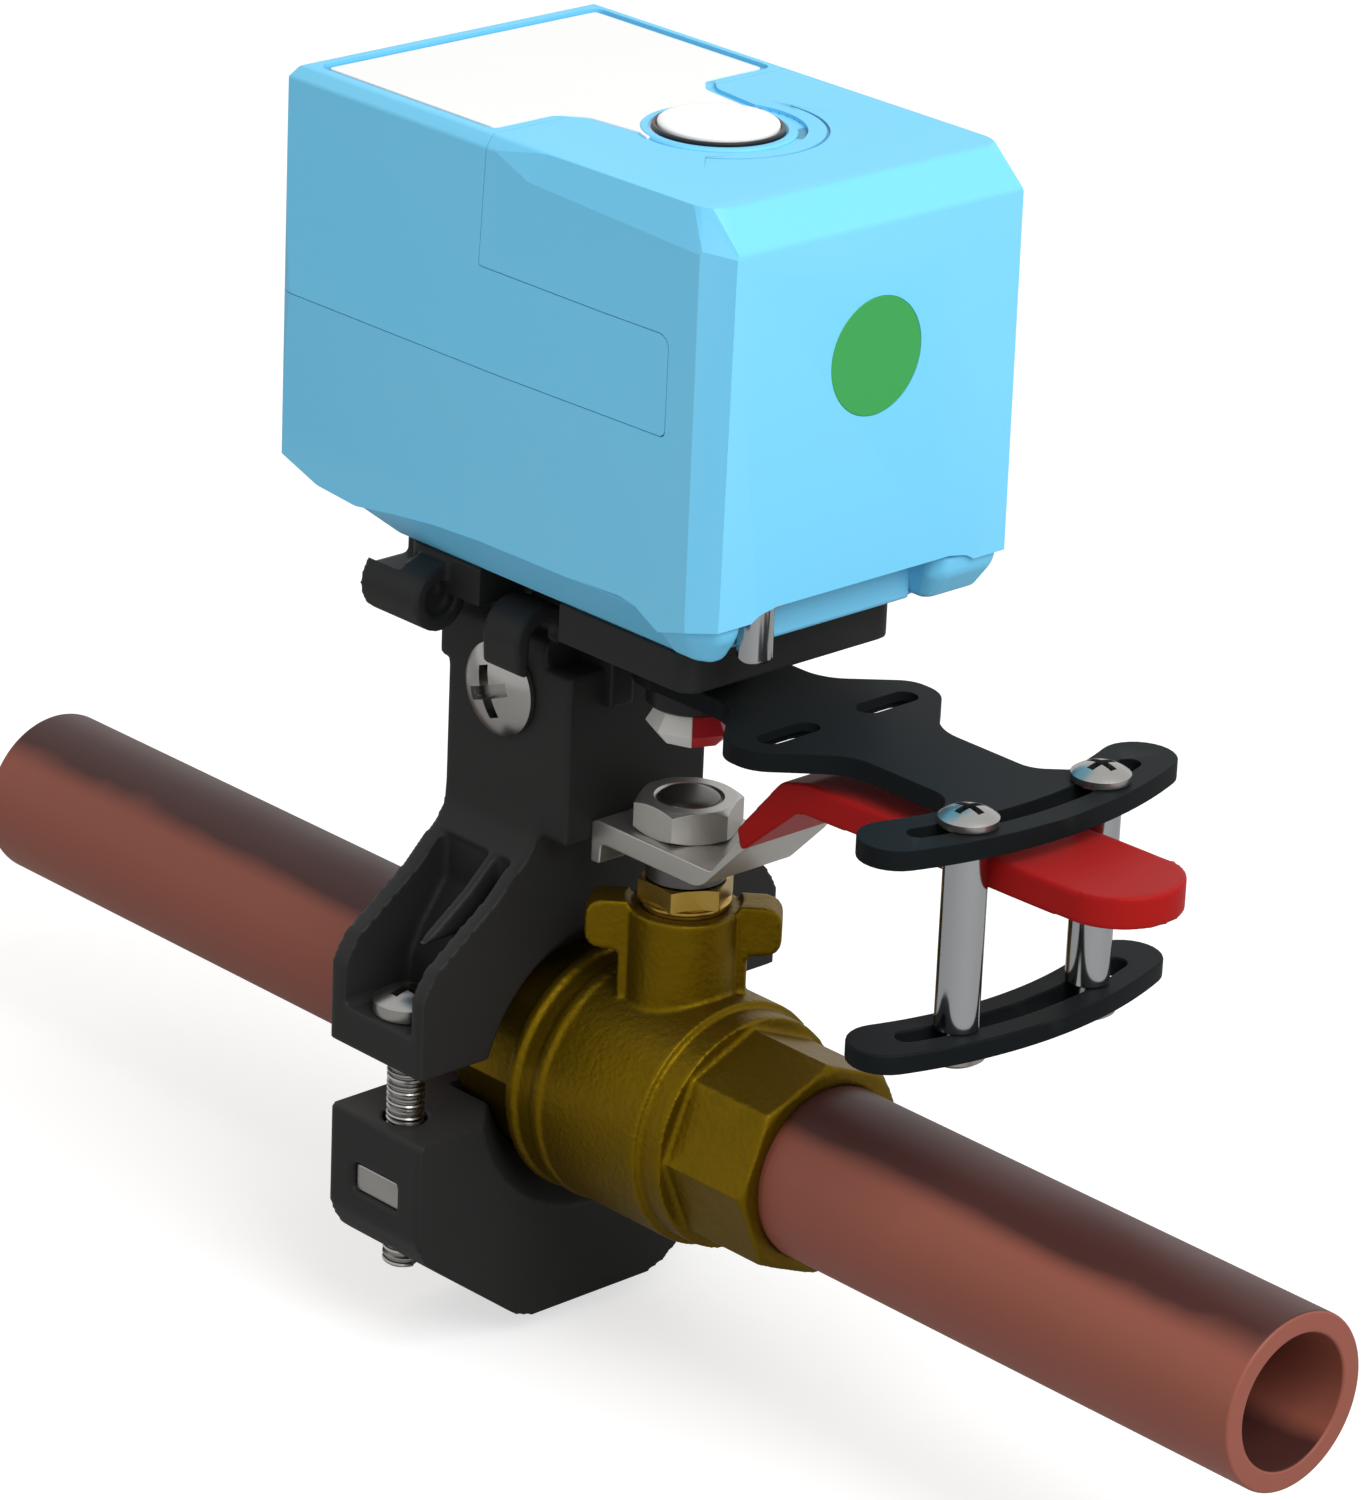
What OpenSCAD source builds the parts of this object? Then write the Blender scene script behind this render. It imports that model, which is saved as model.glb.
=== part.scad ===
// Motor-driven quarter-turn water valve: a pipe with a brass ball valve, a clamp
// bracket on the pipe, a housing with a gear train, and an arm that turns the handle.
// Units are millimetres. The origin is where the pipe axis crosses the stem axis.
// +X runs along the pipe to the outlet, +Z up, and the housing's label side is -X.

/* [Pipe] */
// Outside radius of the pipe
pipe_r = 13.35; // [12.5:0.05:14]
// Radius of the water way in the pipe
pipe_bore_r = 10.1; // [9.6:0.1:11]
// Distance from the stem axis to the free end of the inlet pipe
inlet_reach = 150; // [100:1:200]
// Distance from the stem axis to the free end of the outlet pipe
outlet_reach = 124; // [100:1:200]
// Depth of the pipe thread below the pipe's outside
thread_depth = 0.25; // [0.1:0.05:0.5]

/* [Valve] */
// Corner radius of the eight-sided ends
octagon_r = 16.8; // [16:0.1:18]
// Distance from the stem axis to the end faces of the valve
valve_half = 31.8; // [30:0.1:34]
// Radius of the valve barrel
barrel_r = 19.1; // [18:0.1:20]
// Radius of the ball
ball_r = 12.4; // [11.8:0.1:12.8]
// Radius of the water way through the ball
port_r = 9.5; // [8:0.1:10]
// Radius of the stem
stem_r = 5; // [4:0.1:5.5]
// Radius of the bonnet around the stem
bonnet_r = 8.5; // [8:0.1:9.5]
// Height of the bonnet's top face
bonnet_top = 31.5; // [29:0.5:32.5]
// Radial running gap of the turning parts
run_gap = 0.06; // [0.03:0.01:0.1]

/* [Handle] */
// Height of the underside of the handle strip at the stem
strip_low = 40.1; // [39:0.1:41]
// Thickness of the handle strip at the stem
strip_t = 3.5; // [2.5:0.1:3.8]
// Half width of the handle strip
strip_half = 8.8; // [7:0.1:9]
// Half width of the red grip
grip_half = 9.3; // [8.8:0.1:9.6]
// Distance from the stem axis to the end of the grip
grip_reach = 94.5; // [85:0.5:110]

/* [Clamp] */
// Face of the clamp away from the housing's front
clamp_back = -37.5; // [-40:0.1:-36]
// Face of the clamp beside the valve barrel
clamp_front = -17; // [-17.5:0.1:-16.5]
// Half distance between the clamp bolts
bolt_y = 29.5; // [28:0.1:31]
// Radius of the clamp bolts
bolt_r = 2.9; // [2.4:0.1:3.1]
// Half width of the upright post
post_half = 13.8; // [13:0.1:15]

/* [Housing] */
// Rear end of the housing
rear_x = -60; // [-64:0.5:-59]
// Front face of the housing
front_x = 33.5; // [33:0.5:38]
// Half width of the housing at its widest
house_half = 31; // [30.5:0.1:34]
// Height of the housing's top face
top_z = 150; // [148:0.5:156]
// Height of the line where the rear cover starts
part_z = 116.5; // [114:0.5:120]
// Wall thickness of the housing
wall = 2.6; // [2:0.1:3]

/* [Controls] */
// Radius of the push button
button_r = 8.7; // [7:0.1:10]
// Travel of the push button
button_travel = 1; // [0.5:0.1:1.2]
// Radius of the release pin
pin_r = 2.6; // [2:0.1:3]
// Travel of the release pin
pin_travel = 3.5; // [2:0.5:4]

/* [Arm] */
// Radius of the arc on which the arm posts stand
arc_r = 70; // [66:0.1:76]
// Half distance between the arm posts
arm_post_y = 13; // [12.8:0.1:16]
// Radius of the arm posts
arm_post_r = 3.2; // [2.5:0.1:3.3]
// Thickness of the arm plate and of the lower bar
plate_t = 3; // [2:0.1:3.2]

/* [Hidden] */
$fn = 64;
eps = 0.01;
thread_r = pipe_r - thread_depth;
socket_x = 18;
seat_x = 12.5;
seat_in = 7.4;
cavity_r = ball_r + 0.8;
seat_gap = 0.08;
seat_a = 52.5;
seat_cx = (ball_r + seat_gap) * cos(seat_a);
seat_cr = (ball_r + seat_gap) * sin(seat_a);
seat_slope = cos(seat_a) / sin(seat_a);
stem_hole = stem_r + run_gap;
gland_low = bonnet_top + 1.1;
gland_top = gland_low + 3.4;
strip_top = strip_low + strip_t;
nut_top = strip_top + 5;
nut_half = 8.3;
gland_r = 7.2;
tab_x = -12.6;
tab_low = 36.8;
strip_thin = 2.6;
grip_t = 4.8;
web_front = -valve_half - 0.1;
relief_r = octagon_r + 0.5;
arch_r = 23.3;
head_z = 12.5;
bolt_x = -27.2;
screw_x = -26;
screw_z = 60.6;
collar_r = 9.8;
collar_in = 7.9;
collar_y = -post_half - 8.4;
lug_reach = 14.5;
lug_top = 32.5;
base_low = 75;
base_t = 6;
base_top = base_low + base_t;
floor_top = base_top + wall;
base_half = 20.4;
plate_low = 67.3;
plate_top = plate_low + plate_t;
bar_top = 39.9;
bar_low = bar_top - plate_t;
bar_half = 5.5;
bar_sweep = 19.9;
slot_half = 1.7;
slot_sweep = 17.2;
neck_half = 8.4;
lobe_y = 18.9;
lobe_slot_x = 29.6;
lobe_slot_y = 9.7;
post_x = sqrt(arc_r * arc_r - arm_post_y * arm_post_y);
pointer_low = 57.3;
hub_low = 63.4;
tip_r = 3;
hub_r = 6;
shaft_r = 5;
shaft_hole = shaft_r + run_gap;
bush_r = 7;
gear_module = 1;
out_teeth = 46;
small_teeth = 14;
large_teeth = 36;
pinion_teeth = 12;
idler_x = -(out_teeth + small_teeth) / 2 * gear_module;
mesh_d = (large_teeth + pinion_teeth) / 2 * gear_module;
motor_r = 9.8;
cavity_half = house_half - 4;
pinion_y = motor_r + 0.2294 - cavity_half;
pinion_x = idler_x - sqrt(mesh_d * mesh_d - pinion_y * pinion_y);
mesh_a = asin(-pinion_y / mesh_d);
gear_w = 6;
upper_w = 4;
deck_t = 2;
gear_a = floor_top + 6.4;
gear_b = gear_a + gear_w;
deck_low = gear_b + upper_w + 1.5;
deck_top = deck_low + deck_t;
axle_r = 2.5;
motor_shaft_r = 2;
step_z = part_z + 14.8;
board_t = 1.6;
board_low = top_z - 13;
board_top = board_low + board_t;
panel_t = 0.6;
badge_r = 8.7;
badge_z = top_z - 24.7;
inlet_y = 14;
inlet_z = deck_top + 5.5;
inlet_r = 4.4;
hip_half = house_half - 1;
roof_half = house_half - 1.6;
skirt_z = base_top + 10.5;
well_z = base_top + 8.5;
cavity_z = base_top + 12;
pillar_top = base_top + 8.4;
guide_x = front_x - 6.5;
guide_y = -14.5;
guide_r = 4;
guide_low = base_top + 9.6;
guide_high = guide_low + 9.4;
pin_low = base_top + 0.6;
pin_top = guide_high + pin_travel + 2.9;
button_top = top_z + 1.2;
ring_r = button_r + 0.8;
pillars = [[-36, 15.4], [-36, -15.4], [15, 15.4], [15, -15.4]];
board_feet = [[-40, 20], [16, 20], [16, -20], [-22, -20]];

// Name of the sub-part to draw, or all

// Cylinder along +X from x0 to x1.
module rod_x(x0, x1, r) {
  translate([x0, 0, 0]) rotate([0, 90, 0]) cylinder(r = r, h = x1 - x0);
}

// Cylinder along +Y through the point (x, z).
module rod_y(x, z, y0, y1, r) {
  translate([x, y0, z]) rotate([-90, 0, 0]) cylinder(r = r, h = y1 - y0);
}

// Cylinder along +Z through the point (x, y).
module rod_z(x, y, z0, z1, r) {
  translate([x, y, z0]) cylinder(r = r, h = z1 - z0);
}

// Box between two corners.
module block(a, b) {
  translate(a) cube(b - a);
}

// Eight-sided prism along +X with corners on the Y and Z axes, bevelled at x1.
module octagon_x(x0, x1, r) {
  flat = r * cos(22.5) + 0.15;
  translate([x0, 0, 0]) rotate([0, 90, 0]) intersection() {
    cylinder(r = r, h = x1 - x0, $fn = 8);
    cylinder(r1 = flat + 1.6 * (x1 - x0), r2 = flat, h = x1 - x0);
  }
}

// Unit vector along v.
function unit(v) = v / norm(v);

// Points of an arc of radius r that rounds the corner b between a and c.
function corner_arc(a, b, c, r, n) =
  let (u = unit(a - b), v = unit(c - b), h = acos(u * v) / 2,
    t = min(r / tan(h), norm(a - b) * 0.48, norm(c - b) * 0.48), q = t * tan(h),
    m = b + unit(u + v) * q / sin(h), s = b + u * t - m, turn = sign(cross(s, v * t + b - m)))
  r <= 0 ? [b] : [for (k = [0:n]) let (w = turn * (180 - 2 * h) * k / n)
    m + [s.x * cos(w) - s.y * sin(w), s.x * sin(w) + s.y * cos(w)]];

// Closed outline p with the radius r[i] at each corner p[i].
function rounded(p, r, n = 4) = [for (i = [0:len(p) - 1])
  each corner_arc(p[(i + len(p) - 1) % len(p)], p[i], p[(i + 1) % len(p)], r[i], n)];

// Half outline p joined with its mirror image across the first axis, in reverse order.
function with_mirror(p) =
  concat(p, [for (i = [len(p) - 1:-1:0]) [p[i].x, -p[i].y]]);

// Radii for an outline made by with_mirror.
function both_ends(r) = concat(r, [for (i = [len(r) - 1:-1:0]) r[i]]);

// Draws a YZ outline over the span x0 to x1.
module along_x(x0, x1) {
  translate([x0, 0, 0]) rotate([90, 0, 90]) linear_extrude(x1 - x0) children();
}

// Draws an XZ outline over the span y0 to y1.
module along_y(y0, y1) {
  translate([0, y1, 0]) rotate([90, 0, 0]) linear_extrude(y1 - y0) children();
}

// Repeats a shape on both sides of the XZ plane.
module both_sides() {
  children();
  mirror([0, 1, 0]) children();
}

// Cross recess for a driver, cut downwards from z.
module cross_recess(z, r, depth) {
  for (a = [0, 90]) rotate([0, 0, a])
    translate([-r, -r / 5, z - depth]) cube([2 * r, r / 2.5, depth + 1]);
}

// Domed head of a screw standing on z = 0.
module pan_head(r, h) {
  difference() {
    intersection() {
      cylinder(r = r, h = h);
      translate([0, 0, h - 1.6 * r]) sphere(r = 1.6 * r);
    }
    cross_recess(h, r * 0.55, h * 0.5);
  }
}

// Involute of an angle in degrees, as degrees.
function inv(a) = tan(a) * 180 / PI - a;

// Half angle of a gear tooth at radius r.
function tooth_half(n, r) =
  let (rp = n * gear_module / 2, rb = rp * cos(20), a = r > rb ? acos(rb / r) : 0)
  90 / n * 0.84 + inv(20) - inv(a);

// Points of one gear tooth flank from root to tip.
function flank(n, s, rs) =
  [for (r = rs) [r * cos(s * tooth_half(n, r)), r * sin(s * tooth_half(n, r))]];

// Toothed wheel outline with a tooth centred on the +X side.
module gear_outline(n) {
  rp = n * gear_module / 2;
  rr = rp - 1.15 * gear_module;
  ra = rp + 0.82 * gear_module;
  up = [rr - 0.4, rr + 0.3, rp, (rp + ra) / 2, ra];
  down = [ra, (rp + ra) / 2, rp, rr + 0.3, rr - 0.4];
  circle(r = rr);
  for (i = [0:n - 1]) rotate(i * 360 / n) polygon(concat(flank(n, -1, up), flank(n, 1, down)));
}

// Plan outline of the housing, set in by i from the outer faces.
module house_plan(i) {
  x0 = rear_x + i;
  x1 = front_x - i;
  y1 = house_half - i;
  c = 2.9;
  r = 5 - i * 0.6;
  polygon([[x0 + r, -y1], [x1 - c, -y1], [x1, -y1 + c], [x1, y1 - c], [x1 - c, y1],
    [x0 + r, y1]]);
  translate([x0, -y1 + r]) square([r + eps, 2 * (y1 - r)]);
  translate([x0 + r, y1 - r]) circle(r = r);
  translate([x0 + r, r - y1]) circle(r = r);
}

// Drafted cross-section of the housing with a top chamfer of height c and width w.
module house_section(c, w) {
  polygon([[-19.6, base_top], [19.6, base_top], [hip_half, skirt_z], [house_half, part_z],
    [roof_half, top_z - c], [roof_half - w, top_z], [w - roof_half, top_z],
    [-roof_half, top_z - c], [-house_half, part_z], [-hip_half, skirt_z]]);
}

// Side outline of the housing.
module house_side() {
  polygon([[rear_x + 17, base_top], [front_x - 11.5, base_top], [front_x, skirt_z + 1],
    [front_x, top_z - 5], [front_x - 5.2, top_z], [rear_x + 3, top_z], [rear_x + 1, top_z - 2],
    [rear_x, part_z], [rear_x, skirt_z + 2.5], [rear_x + 1.7, skirt_z + 0.1]]);
}

// Solid outer form of the housing with its four corner feet.
module house_form() {
  intersection() {
    translate([0, 0, base_top]) linear_extrude(top_z - base_top) house_plan(0);
    along_y(-house_half, house_half) house_side();
    union() {
      along_x(rear_x, -10) house_section(2.5, 2);
      along_x(-10, front_x) house_section(4.4, 2.8);
    }
  }
  intersection() {
    translate([0, 0, base_top + 2]) linear_extrude(12) house_plan(0);
    both_sides() along_y(20, house_half)
      polygon([[front_x - 14.9, skirt_z + 2.5], [front_x - 10.9, skirt_z - 3],
        [front_x - 8.5, base_top + 2], [front_x, skirt_z - 2], [front_x, skirt_z + 2.5]]);
    both_sides() along_x(18, front_x)
      polygon([[19.2, skirt_z + 2], [19.2, base_top + 2.5], [23.5, base_top + 3.5],
        [hip_half - 0.4, skirt_z - 3], [hip_half - 0.1, skirt_z + 0.2],
        [hip_half - 0.8, skirt_z + 2]]);
  }
  intersection() {
    translate([0, 0, base_top + 5]) linear_extrude(9) house_plan(0);
    both_sides() along_y(20, house_half)
      polygon([[rear_x + 33.5, skirt_z + 2.5], [rear_x + 31, skirt_z - 3],
        [rear_x + 10, skirt_z - 3], [rear_x + 2.2, skirt_z], [rear_x + 1.4, skirt_z + 2.5]]);
    both_sides() along_x(rear_x, rear_x + 33)
      polygon([[19.2, skirt_z + 2], [19.2, base_top + 5], [hip_half - 2.5, base_top + 7.2],
        [hip_half - 0.4, skirt_z - 2], [hip_half - 0.1, skirt_z + 0.2],
        [hip_half - 0.8, skirt_z + 2]]);
  }
}

// Hollow inside the housing.
module house_cavity() {
  h = top_z - wall;
  intersection() {
    translate([0, 0, cavity_z]) linear_extrude(h - cavity_z) house_plan(wall);
    along_x(rear_x, front_x)
      polygon([[-cavity_half, cavity_z], [-cavity_half, h - 4.5], [3 - cavity_half, h],
        [cavity_half - 3, h], [cavity_half, h - 4.5], [cavity_half, cavity_z]]);
  }
  along_y(2.4 - cavity_half, cavity_half - 2.4)
    polygon([[rear_x + 10, well_z], [front_x - 6, well_z], [front_x - 2.9, cavity_z],
      [front_x - 2.9, cavity_z + eps], [rear_x + 5, cavity_z + eps], [rear_x + 5, cavity_z]]);
  block([rear_x + 19, -17.2, floor_top], [front_x - 14.1, 17.2, well_z + eps]);
}

// Side region that belongs to the rear cover.
module cover_region() {
  along_y(-house_half - 1, house_half + 1) {
    polygon([[rear_x - 1, part_z], [front_x - 10.2, part_z], [front_x - 10.2, step_z - 2],
      [front_x - 10.8, step_z - 0.6], [front_x - 12.2, step_z], [-15.6, step_z],
      [-15.6, top_z + 1], [rear_x - 1, top_z + 1]]);
  }
}

// Outline of the bare label panel on the top face.
module panel_outline() {
  translate([rear_x + 5.5, 5 - house_half]) square([-rear_x - 23.5, 2 * (house_half - 5)]);
  polygon([[-18.2, -14.5], [-15.5, -12.2], [-5, -10], [-5, 10], [-15.5, 12.2], [-18.2, 14.5]]);
  circle(r = 11);
}

module inlet_pipe() {
  color("#8b5042") difference() {
    union() {
      rod_x(-inlet_reach, clamp_back - 0.5, pipe_r);
      rod_x(clamp_back - 0.5 - eps, -socket_x, thread_r);
    }
    rod_x(-inlet_reach - 1, -socket_x + 1, pipe_bore_r);
  }
}

module outlet_pipe() {
  color("#8b5042") difference() {
    union() {
      rod_x(valve_half + 0.6, outlet_reach, pipe_r);
      rod_x(socket_x, valve_half + 0.6 + eps, thread_r);
    }
    rod_x(socket_x - 1, outlet_reach + 1, pipe_bore_r);
  }
}

module valve_body() {
  color("#6b5200") difference() {
    union() {
      rod_x(-16.25, -14.6, 19.7);
      rod_x(-14.6, -10.8, barrel_r);
      rod_x(-10.8, -9.2, 19.5);
      rod_x(-9.2, 11.25, barrel_r);
      rod_x(11.25, 15.6, 18);
      octagon_x(15.6, valve_half, octagon_r);
      cylinder(r = bonnet_r, h = bonnet_top);
      for (a = [45, 225]) rotate([0, 0, a]) difference() {
        along_y(-3, 3) polygon(rounded([[0, 17], [9.5, 17], [9.5, lug_top - 7.7],
          [lug_reach, lug_top - 7.7], [lug_reach, lug_top], [0, lug_top]],
          [0, 1, 1, 2.6, 2.6, 0]));
        cylinder(r = bonnet_r - eps, h = 40);
      }
    }
    rod_x(-17, seat_x, cavity_r);
    rod_x(-17, -12.5, 15.5);
    rod_x(seat_x - 1, socket_x + 1, port_r);
    rod_x(socket_x, valve_half + 1, thread_r);
    cylinder(r = stem_hole, h = 40);
    cylinder(r = 7.1, h = 15.2);
    rod_z(0, 0, 22.5, 40, 6.4);
  }
}

module valve_end_cap() {
  color("#6b5200") difference() {
    union() {
      mirror([1, 0, 0]) octagon_x(16.25, valve_half, octagon_r);
      rod_x(-16.25 - eps, -seat_x, 15.5);
    }
    rod_x(-socket_x - 1, -10, port_r);
    rod_x(-valve_half - 1, -socket_x, thread_r);
  }
}

module ball() {
  color("#c9cdd2") difference() {
    sphere(r = ball_r, $fn = 96);
    rod_x(-14, 14, port_r);
    block([-1.65, -4.9, 10.5], [1.65, 4.9, 14]);
  }
}

module seat_rings() {
  color("#f2f2ee") for (s = [0, 1]) rotate([0, 0, 180 * s]) difference() {
    rod_x(seat_in, seat_x, cavity_r);
    rod_x(seat_in - 1, seat_x + 1, port_r);
    translate([seat_cx - 3, 0, 0]) rotate([0, 90, 0])
      cylinder(r1 = seat_cr + 3 * seat_slope, r2 = seat_cr - 3 * seat_slope, h = 6);
  }
}

module stem() {
  color("#8a8f94") {
    difference() {
      union() {
        block([-1.55, -4.7, 10.6], [1.55, 4.7, 13]);
        rod_z(0, 0, 12.9, 15, 6.9);
        rod_z(0, 0, 12.9, strip_low, stem_r);
        rod_z(0, 0, gland_top + 0.2, strip_low, 6);
        rod_z(0, 0, strip_low - eps, nut_top - 0.4, stem_r - 0.3);
      }
      for (s = [-1, 1]) translate([0, s * 5.6, strip_low]) block([-6, -2, 0], [6, 2, strip_t]);
    }
  }
}

module stem_packing() {
  color("#e8e8e2") difference() {
    rod_z(0, 0, 22.5, 27, 6.4);
    rod_z(0, 0, 22, 28, stem_hole);
  }
}

module gland_nut() {
  color("#c8a546") difference() {
    union() {
      rod_z(0, 0, 27, gland_low, 6.4);
      intersection() {
        translate([0, 0, gland_low]) cylinder(r = gland_r, h = gland_top - gland_low, $fn = 6);
        translate([0, 0, gland_low])
          cylinder(r1 = gland_r + 1.2, r2 = gland_r - 0.6, h = gland_top - gland_low);
      }
    }
    rod_z(0, 0, 26, gland_top + 1, stem_hole);
  }
}

// Side outline of the handle, t0 thick at the stem and t1 thick in the grip.
module lever_side(t0, t1, start) {
  mid = strip_low + t0 / 2;
  rise = [(t1 - 3) * 0.36, (t1 - 3) * 0.33];
  side = [t1 * 0.36, t1 * 0.33];
  lo = start ? [[tab_x, mid - t0 / 2], [11.9, mid - t0 / 2]] : [[21.6 + rise[0], 50.1 - rise[1]]];
  hi = start ? [[14.2, mid + t0 / 2], [tab_x, mid + t0 / 2]] : [[20.2 - rise[0], 51.6 + rise[1]]];
  polygon(concat(lo,
    [[29.6 + side[0], 59.9 - side[1]], [33.6, 61.1 - t1 / 2], [grip_reach, 63.1 - t1 / 2]],
    [[grip_reach, 63.1 + t1 / 2], [33.2, 61.1 + t1 / 2], [29.8 - side[0], 60.6 + side[1]]], hi));
}

// Plan outline of the handle with half widths a near the stem and b in the grip.
module lever_plan(a, b, reach) {
  translate([tab_x - 1, -a]) square([20.8 - tab_x + 1, 2 * a]);
  translate([20, -b]) square([reach - b - 20, 2 * b]);
  translate([reach - b, 0]) circle(r = b);
}

module lever_plate() {
  color("#a9a79c") difference() {
    intersection() {
      union() {
        along_y(-grip_half - 1, grip_half + 1) lever_side(strip_t, strip_thin, true);
        block([tab_x, -strip_half, tab_low], [tab_x + 3.5, strip_half, strip_low + 1]);
      }
      translate([0, 0, 30]) linear_extrude(50) lever_plan(strip_half, 7.6, grip_reach - 2);
    }
    difference() {
      rod_z(0, 0, 35, 45, stem_r - 0.3);
      for (s = [-1, 1]) translate([0, s * 5.6, 34]) block([-6, -2, 0], [6, 2, 12]);
    }
  }
}

module lever_grip() {
  color("#b32025") difference() {
    intersection() {
      along_y(-grip_half - 1, grip_half + 1) lever_side(strip_t, grip_t, false);
      translate([0, 0, 40]) linear_extrude(40) lever_plan(grip_half, grip_half, grip_reach);
    }
    lever_plate();
  }
}

module stem_nut() {
  color("#9b9890") difference() {
    intersection() {
      translate([0, 0, strip_top]) cylinder(r = nut_half, h = nut_top - strip_top, $fn = 6);
      translate([0, 0, strip_top])
        cylinder(r1 = nut_half + 4, r2 = nut_half - 1, h = nut_top - strip_top);
    }
    rod_z(0, 0, strip_top - 1, nut_top + 1, stem_r - 0.3);
  }
}

module upper_bracket() {
  color("#232425") difference() {
    union() {
      rotate([0, 90, 0]) translate([0, 0, clamp_back]) linear_extrude(clamp_front - clamp_back)
        polygon(rounded(with_mirror([[-6.1, -35.8], [-19.3, -35.8], [-23.2, -33], [-31.4, -21.9],
          [-38.2, -14.6], [-44, -post_half]]), both_ends([0.8, 5, 6, 12, 10, 0])));
      block([clamp_back - 0.7, -post_half, 40], [clamp_front, post_half, 46]);
      block([clamp_back - 0.7, -post_half, 44.4], [-11.3, post_half, 66.5]);
      block([clamp_back - 2.7, -post_half, 61], [clamp_front, post_half, 71]);
      block([clamp_back + 1, -post_half + 2, 70], [clamp_front + 3, post_half - 2, base_low]);
    }
    rod_x(clamp_back - 4, web_front, thread_r);
    rod_x(web_front - eps, clamp_front + 1, relief_r);
    translate([-23, 0, 0]) rotate([0, 90, 0]) cylinder(r1 = relief_r, r2 = arch_r, h = 6 + eps);
    both_sides() {
      difference() {
        along_x(-34.5, -19.5)
          polygon([[40, head_z], [40, 36], [16.5, 36], [16.5, 28.4], [21, 22], [23.2, 17.5],
            [23.6, head_z]]);
        block([-24.4, 16, 25], [-22.6, 40, 37]);
      }
      rod_z(bolt_x, bolt_y, 0, head_z + 1, bolt_r + 0.4);
    }
    block([-34.2, -6, 50], [-17.8, 6, base_low + 1]);
    rod_y(screw_x, screw_z, -post_half - 1, post_half + 1, 4.2);
  }
}

module lower_clamp() {
  color("#232425") difference() {
    rotate([0, 90, 0]) translate([0, 0, clamp_back]) linear_extrude(clamp_front - clamp_back)
      polygon(rounded(with_mirror([[4.5, -35.3], [20.5, -35.3], [24.6, -33.2], [38.2, -14.8],
        [39.2, -11.4]]), both_ends([0.8, 5, 6, 5, 3])));
    rod_x(clamp_back - 1, web_front, thread_r);
    rod_x(web_front - eps, clamp_front + 1, relief_r);
    translate([-23, 0, 0]) rotate([0, 90, 0]) cylinder(r1 = relief_r, r2 = arch_r, h = 6 + eps);
    both_sides() {
      rod_z(bolt_x, bolt_y, -40, 0, bolt_r + 0.4);
      block([bolt_x - 5.1, bolt_y - 5.1, -17], [bolt_x + 5.1, 40, -12.2]);
    }
  }
}

module clamp_bolts() {
  color("#b9b6ae") both_sides() translate([bolt_x, bolt_y, 0]) {
    translate([0, 0, head_z]) pan_head(5.2, 4);
    rod_z(0, 0, -28, head_z + eps, bolt_r);
    translate([0, 0, -28.5]) cylinder(r1 = bolt_r - 0.5, r2 = bolt_r, h = 0.5 + eps);
  }
}

module clamp_nuts() {
  color("#b9b6ae") both_sides() difference() {
    block([bolt_x - 5, bolt_y - 5, -17], [bolt_x + 5, bolt_y + 5, -12.6]);
    rod_z(bolt_x, bolt_y, -20, -10, bolt_r);
  }
}

module bracket_screw() {
  color("#c9c6bf") translate([screw_x, -post_half, screw_z]) rotate([90, 0, 0]) {
    pan_head(7.2, 3.5);
    translate([0, 0, -2 * post_half - 6.5]) cylinder(r = 4, h = 2 * post_half + 6.5 + eps);
  }
}

module bracket_nut() {
  color("#c9c6bf") difference() {
    translate([screw_x, post_half + 6, screw_z]) rotate([90, 0, 0]) cylinder(r = 7.5, h = 6, $fn = 6);
    rod_y(screw_x, screw_z, post_half - 1, post_half + 7, 4);
  }
}

module actuator_base() {
  color("#1f2021") difference() {
    union() {
      block([-38, -base_half, base_low], [17, base_half, base_top]);
      block([-41, -base_half + 3, base_low], [20, base_half - 3, base_top]);
      for (x = [-38, 17]) for (y = [-1, 1]) rod_z(x, y * (base_half - 3), base_low, base_top, 3);
      for (s = [[-44, -31.4], [-2, 13.3]]) {
        translate([0, -21.5, 75.2]) rod_x(s[0], s[1], 4.5);
        block([s[0], -21.5, 75.4], [s[1], -16, 79.7]);
      }
      block([-34, -5.8, 51], [-18, 5.8, base_low + 1]);
      block([-31.5, -20.4, 66], [-18, -post_half - 0.2, base_low + 1]);
      difference() {
        rod_y(screw_x, screw_z, collar_y, -post_half - 0.2, collar_r);
        along_y(collar_y - 1, -post_half) polygon([[screw_x, screw_z],
          [screw_x + 14, screw_z - 11.7], [screw_x, screw_z - 14], [screw_x - 16, screw_z - 14],
          [screw_x - 16, screw_z + 7.4]]);
      }
    }
    rod_y(screw_x, screw_z, -post_half - 4, post_half + 1, 4.2);
    rod_y(screw_x, screw_z, collar_y - 1, -post_half + 0.4, collar_in);
    block([-50, -post_half - 0.1, 60], [-10, -5.9, base_low]);
    for (s = [[-31.4, -34.4], [13.3, 10.3]]) block([s[1], -22.6, 74.1], [s[0] + 1, -20.4, 76.3]);
    rod_z(0, 0, base_low - 1, base_top + 1, bush_r);
    for (p = pillars) {
      rod_z(p[0], p[1], base_low - 1, base_top + 1, 1.7);
      rod_z(p[0], p[1], base_low - 1, base_low + 2.4, 3.2);
    }
  }
}

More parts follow.
